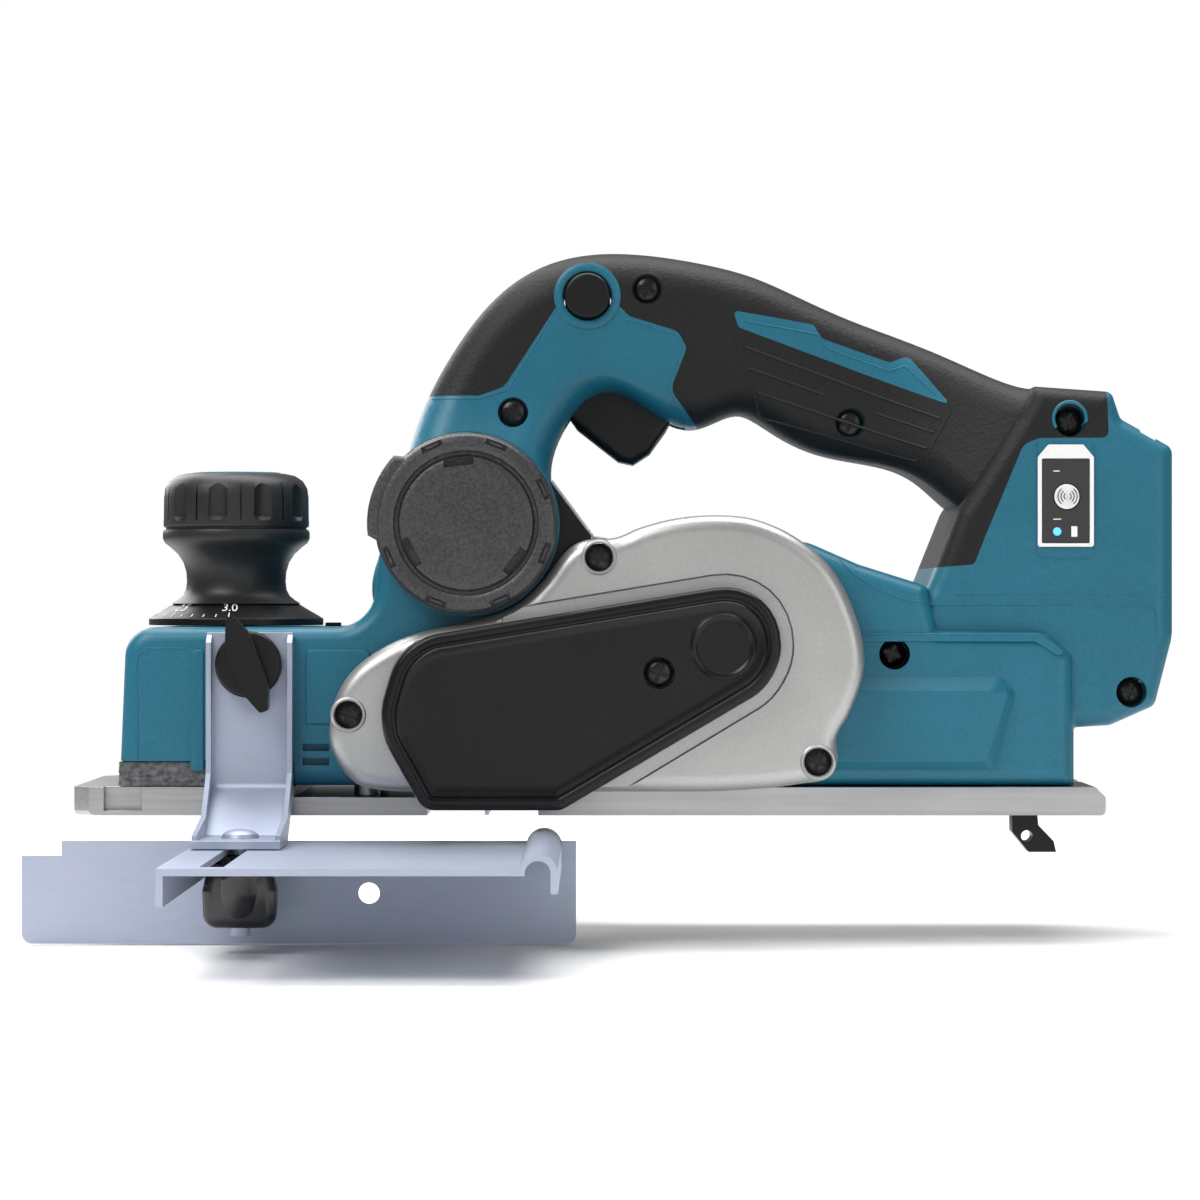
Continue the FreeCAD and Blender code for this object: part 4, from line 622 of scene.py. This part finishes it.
def makeCap():
    radius, outer, face, disc = cap["radius"], cap["outer"], cap["face"], cap["disc"]
    body = turned([(0, outer + 0.7), (disc - 2.6, outer + 0.7), (disc - 1.5, outer + 0.7), (disc - 0.6, outer + 1.1),
                   (disc, outer + 2.2), (disc + 0.9, outer + 2.2), (disc + 1.3, outer + 0.4), (disc + 1.9, outer),
                   (radius - 2.6, outer),
                   (radius - 1.2, outer + 0.5), (radius - 0.3, outer + 2.0), (radius, outer + 4.4), (radius, face),
                   (radius - 2.2, face), (radius - 2.2, outer + 4.2), (0, outer + 4.2)], cap["centre"], steps=96)
    piece = addPiece("capShell", body, "cap", "black_plastic", 40, instead=["nozzle_cap"], paint="grainyBlack")
    cutters = []
    x0, z0 = cap["centre"]

    def around(shape, angle, reach):
        bmesh.ops.rotate(shape, verts=shape.verts, cent=(0, 0, 0),
                         matrix=Matrix.Rotation(math.radians(90 - angle), 3, "Y"))
        bmesh.ops.translate(shape, verts=shape.verts, vec=at(
            x0 + reach * math.cos(math.radians(angle)), 0, z0 + reach * math.sin(math.radians(angle))))
        return shape

    wide, tall = cap["slotSize"]
    for angle in cap["slotAngles"]:
        cutters.append(around(blockShape((-wide / 2, outer - 1, -tall / 2), (wide / 2, outer + 3.6, tall / 2)),
                              angle, disc - 1.9))
    for number in range(cap["clips"]):
        angle = 360 * number / cap["clips"] + 24
        if cap["thumb"][0] - 12 < angle % 360 < cap["thumb"][1] + 8:
            continue
        cutters.append(around(blockShape((-3.3, outer - 1, -0.9), (3.3, outer + 1.6, 0.9)), angle, radius - 2.2))
        cutters.append(around(blockShape((-1.2, outer + 2.4, -1.2), (1.2, face + 1, 1.2)), angle + 14, radius + 0.5))
    cutWith(piece, cutters)
    # thumb rest that swells out of the rim
    first, last = cap["thumb"]
    shape = bmesh.new()
    spots = [shape.verts.new(at(x, face - 0.4, z)) for x, z in
             arc(x0, z0, radius - 2.5, first, last, 16) + arc(x0, z0, radius + 2.4, last - 9, first + 9, 14)]
    front = shape.faces.new(spots)
    made = bmesh.ops.extrude_face_region(shape, geom=[front])
    grown = [item for item in made["geom"] if isinstance(item, bmesh.types.BMFace)][0]
    bmesh.ops.translate(shape, verts=grown.verts, vec=(0, (outer + 1.6 - face) * mm, 0))
    bmesh.ops.recalc_face_normals(shape, faces=shape.faces)
    bmesh.ops.bevel(shape, geom=list(grown.edges), offset=1.5 * mm, segments=4, affect="EDGES", profile=0.5,
                    material=-1)
    addPiece("capThumbRest", shape, "cap", "black_plastic", 40, paint="grainyBlack")
    # little locking hooks inside the clip windows
    hooks = []
    for number in range(cap["clips"]):
        angle = 360 * number / cap["clips"] + 24
        if cap["thumb"][0] - 12 < angle % 360 < cap["thumb"][1] + 8:
            continue
        hooks.append(around(blockShape((-2.0, outer + 0.7, -0.45), (2.0, outer + 1.8, 0.45), 0.15), angle,
                            radius - 2.2))
    addPiece("capHooks", join(hooks), "cap", "black_plastic", 40, paint="grainyBlack")


makeCap()
print("cap made")


# belt case and cover
beltSide = {
    "coverOutline": ((-17.0, 2.7, 5.4), (-31.0, 28.0, 20.0), (-23.5, 53.4, 17.0), (89.3, 72.0, 17.1),
                     (89.3, 41.3, 17.1), (24.0, 2.7, 5.4)),
    "caseLine": ((52.0, 7.8), (32.0, 7.8), (12.0, 7.8), (-6.0, 7.8), (-16.0, 7.8), (-24.0, 7.9), (-31.5, 8.5),
                 (-37.7, 10.4), (-42.6, 15.6), (-45.6, 24.4), (-43.5, 36.2), (-37.7, 45.0), (-28.0, 51.7),
                 (-18.0, 55.6), (-4.0, 58.7), (9.2, 63.0), (18.0, 70.4), (24.6, 79.0), (30.4, 82.9),
                 (40.2, 83.9), (47.6, 86.9), (58.0, 89.6), (69.9, 90.6), (81.8, 89.4), (93.8, 84.2), (104.6, 75.0),
                 (111.1, 63.1), (114.4, 51.4), (114.2, 42.4), (110.4, 31.6), (106.4, 24.2), (106.6, 17.2),
                 (102.8, 11.6), (95.5, 10.2), (85.0, 8.8), (70.0, 7.9), (60.0, 7.8)),
    "step": ((6.0, -3.0, 0.5), (6.0, 62.5, 4.0), (93.5, 76.9, 21.3), (93.5, 38.9, 21.3), (24.0, -3.0, 0.5)),
    "caseProfile": ((0.9, -42.2), (0.0, -43.0), (0.0, -53.6), (0.3, -55.2), (1.1, -56.6), (2.4, -57.6), (4.0, -58.0),
                    (5.2, -58.05)),
    "coverProfile": ((2.3, -62.6), (2.3, -58.6), (0.0, -58.6), (0.0, -63.9), (0.3, -64.7), (1.0, -65.2), (1.9, -65.3),
                     (2.8, -65.25), (3.3, -64.75), (3.8, -64.7), (4.3, -65.5), (4.7, -65.75), (5.2, -65.6),
                     (6.0, -65.3), (7.4, -65.2)),
    "caseFace": -58.05,
    "screws": ((35.2, 77.9), (-39.6, 30.9), (100.6, 16.8)), "screwRoom": 4.2, "ring": 4.3,
    "coverScrew": (53.0, 43.6), "coverRoom": 4.8,
    "bossAt": (72.2, 51.4),
    "bossProfile": ((0, -64.9), (7.3, -64.9), (7.9, -65.2), (8.5, -65.9), (9.1, -66.0), (9.7, -65.6), (10.3, -64.9),
                    (10.3, -64.6), (0, -64.6)),
}


def makeBeltSide():
    face = beltSide["caseFace"]
    case = addPiece("caseShell", stacked(smoothLine(beltSide["caseLine"]), beltSide["caseProfile"]), "chassis",
                    "silver_case", 40, instead=["belt_case"])
    cover = rounded(beltSide["coverOutline"])
    cutters = [stacked(rounded(beltSide["step"]), ((0.0, face - 2), (0.0, face + 0.1), (0.5, face + 1.0))),
               stacked(cover, ((-0.5, face - 2), (-0.5, face + 0.7), (1.6, face + 0.8), (1.6, -44.0)))]
    for x, z in beltSide["screws"]:
        room = beltSide["screwRoom"]
        cutters.append(turned([(0, face - 2), (room, face - 2), (room, face + 4), (0, face + 4)], (x, z), steps=40))
    cutWith(case, cutters, 36)
    for number, (x, z) in enumerate(beltSide["screws"]):
        ring = beltSide["ring"]
        boss = turned([(ring, face + 1.2), (ring, face - 0.2), (ring + 0.2, face - 0.45), (ring + 0.6, face - 0.5),
                       (ring + 1.0, face - 0.2), (ring + 1.3, face + 1.2), (ring, face + 1.2)], (x, z), steps=48)
        addPiece("caseBoss%d" % (number + 1), boss, "chassis", "silver_case", 40)
    lid = addPiece("coverDish", stacked(cover, beltSide["coverProfile"]), "chassis", "black_plastic", 40,
                   instead=["belt_cover"], paint="satinBlack")
    x, z = beltSide["coverScrew"]
    room = beltSide["coverRoom"]
    cutWith(lid, [turned([(0, -70), (room, -70), (room, -60), (0, -60)], (x, z), steps=48)], 40)
    sleeve = turned([(room, -65.1), (room, -59.4), (6.0, -59.4), (6.0, -65.0), (room, -65.1)], (x, z), steps=48)
    addPiece("coverSleeve", sleeve, "chassis", "black_plastic", 40)
    addPiece("coverBoss", turned(beltSide["bossProfile"], beltSide["bossAt"], steps=72), "chassis", "black_plastic", 40,
             paint="satinBlack")


makeBeltSide()
print("belt side made")


# depth knob and fence nut
knob = {
    "x": -78.3, "radius": 22.6, "scoops": 10, "firstScoop": -99.4, "scoopAt": 24.6, "scoopRadius": 3.7,
    "profile": ((0, 103.3), (14.4, 103.3), (14.6, 104.3), (15.6, 104.6), (18.4, 104.0), (20.8, 102.4), (22.2, 100.0),
                (22.6, 97.2), (22.7, 88.6), (22.5, 88.0), (21.9, 87.8), (21.9, 87.3), (22.6, 87.0), (22.9, 86.2),
                (22.9, 84.4), (22.2, 83.0), (20.4, 81.6), (18.2, 79.6), (16.5, 77.0), (15.6, 74.0), (15.4, 71.0),
                (15.7, 68.4), (16.6, 66.6), (18.4, 65.1), (20.2, 64.1), (14.0, 63.6), (6.2, 63.6), (6.2, 92.0),
                (0, 92.0)),
    "slit": 0.55, "slitLow": 90.0, "slitHigh": 100.6,
}
wingNut = {"at": (-70.3, -75.0), "outline": ((-10.6, -31.2, 4.2), (-11.1, -20.0, 3.0), (-9.6, -14.2, 3.0),
           (-10.5, -9.6, 1.4), (10.5, -9.6, 1.4), (9.6, -14.2, 3.0), (11.1, -20.0, 3.0), (10.6, -31.2, 4.2)),
           "half": 5.6, "hub": 8.2}


def makeKnob():
    x0 = knob["x"]
    head = addPiece("knobGrip", turned(knob["profile"], (x0, 0), "Z", 96), "depth_control", "black_plastic", 36,
                    instead=["depth_knob"], paint="knobBlack")
    cutters = []
    for number in range(knob["scoops"]):
        angle = math.radians(knob["firstScoop"] + 360 * number / knob["scoops"])
        spot = (x0 + knob["scoopAt"] * math.cos(angle), knob["scoopAt"] * math.sin(angle))
        reach = knob["scoopRadius"]
        cutters.append(turned([(0, 89.6), (reach - 0.9, 89.8), (reach, 91.0), (reach, 99.2), (reach - 0.8, 101.8),
                               (reach - 2.2, 103.4), (0, 104.0)], spot, "Z", 32))
        slit = blockShape((knob["radius"] - 0.7, -knob["slit"] / 2, knob["slitLow"]),
                          (knob["radius"] + 2, knob["slit"] / 2, knob["slitHigh"]))
        turn = angle + math.pi / knob["scoops"]
        bmesh.ops.rotate(slit, verts=slit.verts, cent=(0, 0, 0), matrix=Matrix.Rotation(turn, 3, "Z"))
        bmesh.ops.translate(slit, verts=slit.verts, vec=at(x0, 0, 0))
        cutters.append(slit)
    cutWith(head, [join(cutters)], 36)


def makeWingNut():
    x, y = wingNut["at"]
    half = wingNut["half"]
    corners = [(x + across, up, radius) for across, up, radius in wingNut["outline"]]
    wings = stacked(rounded(corners), ((2.6, y + half), (1.0, y + half - 0.5), (0.2, y + half - 1.8), (0.0, y),
                                       (0.2, y - half + 1.8), (1.0, y - half + 0.5), (2.6, y - half)))
    addPiece("nutWings", wings, "fence_clamp", "gloss_black", 60, instead=["fence_nut"])
    hub = wingNut["hub"]
    core = turned([(0, -9.6), (hub - 0.8, -9.6), (hub, -10.4), (hub - 0.7, -15.0), (hub - 0.4, -21.0),
                   (hub - 1.4, -26.8), (hub - 4.0, -29.8), (0, -30.4)], (x, y), "Z", 48)
    addPiece("nutCore", core, "fence_clamp", "gloss_black", 60)


makeKnob()
makeWingNut()
print("knob and nut made")


# dial numbers and ticks
dial = {"knobX": -78.3, "rim": 27.2, "neck": 16.0, "rimHigh": 59.4, "neckHigh": 65.99, "first": 0.0,
        "degreesPerTenth": 9.0, "tall": 4.6, "print": 0.62, "tenths": 31, "letterRadius": 21.5, "stretch": 1.55,
        "numberAt": 6.6, "tickAt": 1.2}


def onCone(angle, up, lift):
    # a point on the dial: angle from the pointer, anticlockwise from above, and mm up the slope
    run, rise = dial["rim"] - dial["neck"], dial["neckHigh"] - dial["rimHigh"]
    slope = math.hypot(run, rise)
    radius = dial["rim"] - up * run / slope + lift * rise / slope
    height = dial["rimHigh"] + up * rise / slope + lift * run / slope
    return at(dial["knobX"] + radius * math.cos(angle), radius * math.sin(angle), height)


def makeDialPrint():
    marks = []
    for tenth in range(dial["tenths"]):
        long = tenth % 5 == 0
        tick = blockShape((-0.16, 0, -0.02), (0.16, 2.5 if long else 1.5, 0.10))
        angle = math.radians(dial["first"] + tenth * dial["degreesPerTenth"])
        for vert in tick.verts:
            x, up, lift = vert.co / mm
            vert.co = onCone(angle + x / dial["rim"], dial["tickAt"] + up, lift)
        marks.append(tick)
        if long:
            words = lettering("%.1f" % (tenth / 10) if tenth else "0", dial["tall"] * dial["print"])
            for vert in words.verts:
                x, up, lift = vert.co / mm
                vert.co = onCone(angle + x / dial["letterRadius"], dial["numberAt"] + up * dial["stretch"], lift + 0.04)
            marks.append(words)
    addPiece("dialPrint", join(marks), "depth_control", "white_plastic", 40, paint="printWhite")


makeDialPrint()
print("dial printed")


# switch panel
panel = {"face": -37.0, "button": (177.2, 96.6), "lamp": (174.3, 86.0)}


def makePanel():
    face = panel["face"]
    x, z = panel["button"]
    waves = []
    # the wave lines are thin raised beads painted near-black, painted groove shade
    for radius in (1.1, 2.0, 2.9):
        for start in (-52, 128):
            points = [(px, face - 2.66, pz) for px, pz in arc(x, z, radius, start, start + 104, 12)]
            bead("wave%d%s" % (radius * 10, "a" if start < 0 else "b"), points, 0.16, "radio_button", "white_plastic",
                 paint="grooveShade")
    lamp = turned([(0, face - 0.85), (1.0, face - 0.8), (1.3, face - 0.45), (1.3, face - 0.3), (0, face - 0.3)],
                  panel["lamp"], steps=24)
    addPiece("statusLamp", lamp, "chassis", "white_plastic", 40, paint="lightBlue")
    marks = [blockShape((173.1, face - 0.56, 89.6), (175.5, face - 0.45, 89.9)),
             blockShape((173.1, face - 0.56, 104.2), (175.0, face - 0.45, 104.5)),
             blockShape((178.6, face - 0.56, 84.4), (180.4, face - 0.45, 87.6))]
    addPiece("panelMarks", join(marks), "chassis", "white_plastic", 40, paint="printWhite")


makePanel()
print("panel made")

# mouldings on the near side of the body
body = {"side": -41.0, "tailSide": -37.0, "seam": 0.28, "pad": 0.55}


def makeBodyTrim():
    side = body["side"]
    shell = surfaceOf("housing_left", "grip_left")
    # raised fields each side of the fence bracket
    fields = [plateShape(((-53.6, 27.6, 0.6), (-53.6, 50.2, 2.0), (-34.0, 50.2, 2.0), (-34.0, 27.6, 0.6)),
                         side - body["pad"], side + 0.8, 0.45),
              plateShape(((-88.4, 13.4, 0.6), (-88.4, 50.2, 2.0), (-84.4, 50.2, 1.0), (-84.4, 13.4, 0.6)),
                         side - body["pad"], side + 0.8, 0.45)]
    addPiece("noseFields", join(fields), "chassis", "teal_plastic", 34)
    noseLine = laidOn(shell, [(-104.6, 12.5), (-104.6, 48.2), (-101.8, 50.6), (-90.0, 50.6)], -0.05)
    bead("noseLine", noseLine, body["seam"], "chassis", "teal_plastic")
    # lines along the tail
    upper = laidOn(shell, [(143.2, 67.0), (207.4, 67.0)], -0.05)
    bead("tailUpperLine", upper, body["seam"], "chassis", "teal_plastic")
    lower = laidOn(shell, [(106.0, 79.6), (112.0, 73.2), (119.5, 68.4), (128.0, 65.2), (137.0, 63.8), (200.0, 63.7),
                           (203.6, 62.8), (204.4, 60.5), (204.4, 54.0)], -0.05)
    bead("tailLowerLine", lower, body["seam"], "chassis", "teal_plastic")
    # line of the parting edge beside the rubber
    for name, line in (("neckLine", [(-16.4, 127.2), (-2.0, 127.2), (7.0, 130.0), (22.0, 155.0)]),
                       ("tongueLine", [(43.6, 151.8), (59.2, 147.0), (60.8, 142.8), (56.2, 130.6), (63.0, 119.5)])):
        bead(name, laidOn(shell, line, -0.1), body["seam"] * 0.9, "chassis", "teal_plastic")


motorSwelling = {"corners": ((104.0, 13.0, 1.2), (104.0, 43.4, 1.0), (157.4, 43.4, 2.5), (162.0, 37.0, 2.5),
                             (155.6, 13.0, 1.5)),
                 "out": 4.2, "topSlope": 5.8, "lowSlope": 3.6, "endSlope": 3.4, "edge": 0.7}


def makeMotorBulge():
    # wide swelling over the motor with one broad sloping top
    side = body["side"]
    corners = motorSwelling["corners"]
    shape = bmesh.new()
    face = roundedFace(shape, corners, side + 1.0)
    made = bmesh.ops.extrude_face_region(shape, geom=[face])
    front = [item for item in made["geom"] if isinstance(item, bmesh.types.BMFace)][0]
    bmesh.ops.translate(shape, verts=front.verts, vec=(0, -motorSwelling["out"] * mm, 0))
    for vert in front.verts:
        if vert.co.z > 39 * mm:
            vert.co.z -= motorSwelling["topSlope"] * mm
        if vert.co.z < 16 * mm:
            vert.co.z += motorSwelling["lowSlope"] * mm
        if vert.co.x > 150 * mm:
            vert.co.x -= motorSwelling["endSlope"] * mm
    bmesh.ops.recalc_face_normals(shape, faces=shape.faces)
    addPiece("motorBulge", shape, "chassis", "teal_plastic", 30, bevel=motorSwelling["edge"])
    upper = plateShape(((104.0, 52.6, 1.0), (104.0, 55.2, 0.4), (168.6, 55.2, 1.2), (176.6, 49.4, 1.0),
                        (173.8, 48.2, 0.6), (167.2, 52.6, 0.8)), side - 0.7, side + 0.8, 0.5)
    addPiece("motorLedge", upper, "chassis", "teal_plastic", 34)


def makeGripTrim():
    grip = surfaceOf("grip_left", "grip_inlays")
    # grooves and the patch edge are raised beads painted darker than the rubber: painted shade for recessed grooves
    for number, ((x0, z0), (x1, z1)) in enumerate((((80.1, 143.4), (140.0, 121.0)), ((81.5, 136.7), (104.6, 128.5)),
                                                   ((121.0, 122.7), (138.0, 116.7)), ((84.0, 129.3), (135.8, 111.8)))):
        bead("gripGroove%d" % (number + 1), laidOn(grip, [(x0, z0), (x1, z1)], 0.0), 0.42, "chassis", "black_rubber",
             paint="grooveShade")
    frame = [(77.4, 147.6), (84.6, 123.5), (85.8, 121.6), (133.0, 107.9), (136.4, 110.6), (143.4, 123.6)]
    bead("gripPatchEdge", laidOn(grip, frame, 0.0), 0.3, "chassis", "black_rubber", paint="grooveShade")
    inlay = [(80.2, 151.2), (103.0, 147.2), (105.2, 143.0), (124.8, 135.8), (129.6, 137.4), (138.6, 128.4)]
    bead("inlayLine", laidOn(grip, inlay, -0.05), 0.3, "chassis", "teal_plastic")


def makeDuctWeb():
    web = plateShape(((16.0, 103.2, 1.0), (20.6, 100.8, 1.0), (33.2, 84.0, 1.5), (26.0, 74.0, 1.0), (19.0, 72.0, 1.0)),
                     -46.4, -42.4, 0.5)
    addPiece("ductWeb", web, "chassis", "black_plastic", 34)
    bead("ductWebEdge", [(20.8, -46.2, 101.0), (33.6, -46.2, 84.0), (37.6, -46.2, 83.6)], 0.55, "chassis",
         "silver_case")


def makeCollar():
    for name, side in (("nearButtonCollar", -1), ("farButtonCollar", 1)):
        ring = turned([(7.55, side * 15.5), (7.55, side * 17.9), (8.0, side * 18.2), (9.5, side * 18.2),
                       (10.3, side * 17.7), (10.3, side * 15.5), (7.55, side * 15.5)], (31.6, 159.0), steps=48)
        addPiece(name, ring, "chassis", "teal_plastic", 34)


def makePanelBay():
    tail = surfaceOf("housing_left", "grip_left")
    bay = [(168.1, 112.8), (168.1, 79.5), (169.8, 77.8), (183.7, 77.8), (185.4, 79.5), (185.4, 112.8)]
    bead("panelBay", laidOn(tail, bay, -0.05), body["seam"], "chassis", "teal_plastic")
    collar = [(x, z) for x, z in arc(178.2, 120.4, 5.0, 0, 350, 35)]
    bead("topScrewRing", laidOn(tail, collar, 0.0, step=9), 0.55, "chassis", "teal_plastic", closed=True)


makeBodyTrim()
makePanelBay()
makeMotorBulge()
makeGripTrim()
makeDuctWeb()
makeCollar()
print("body trim made")
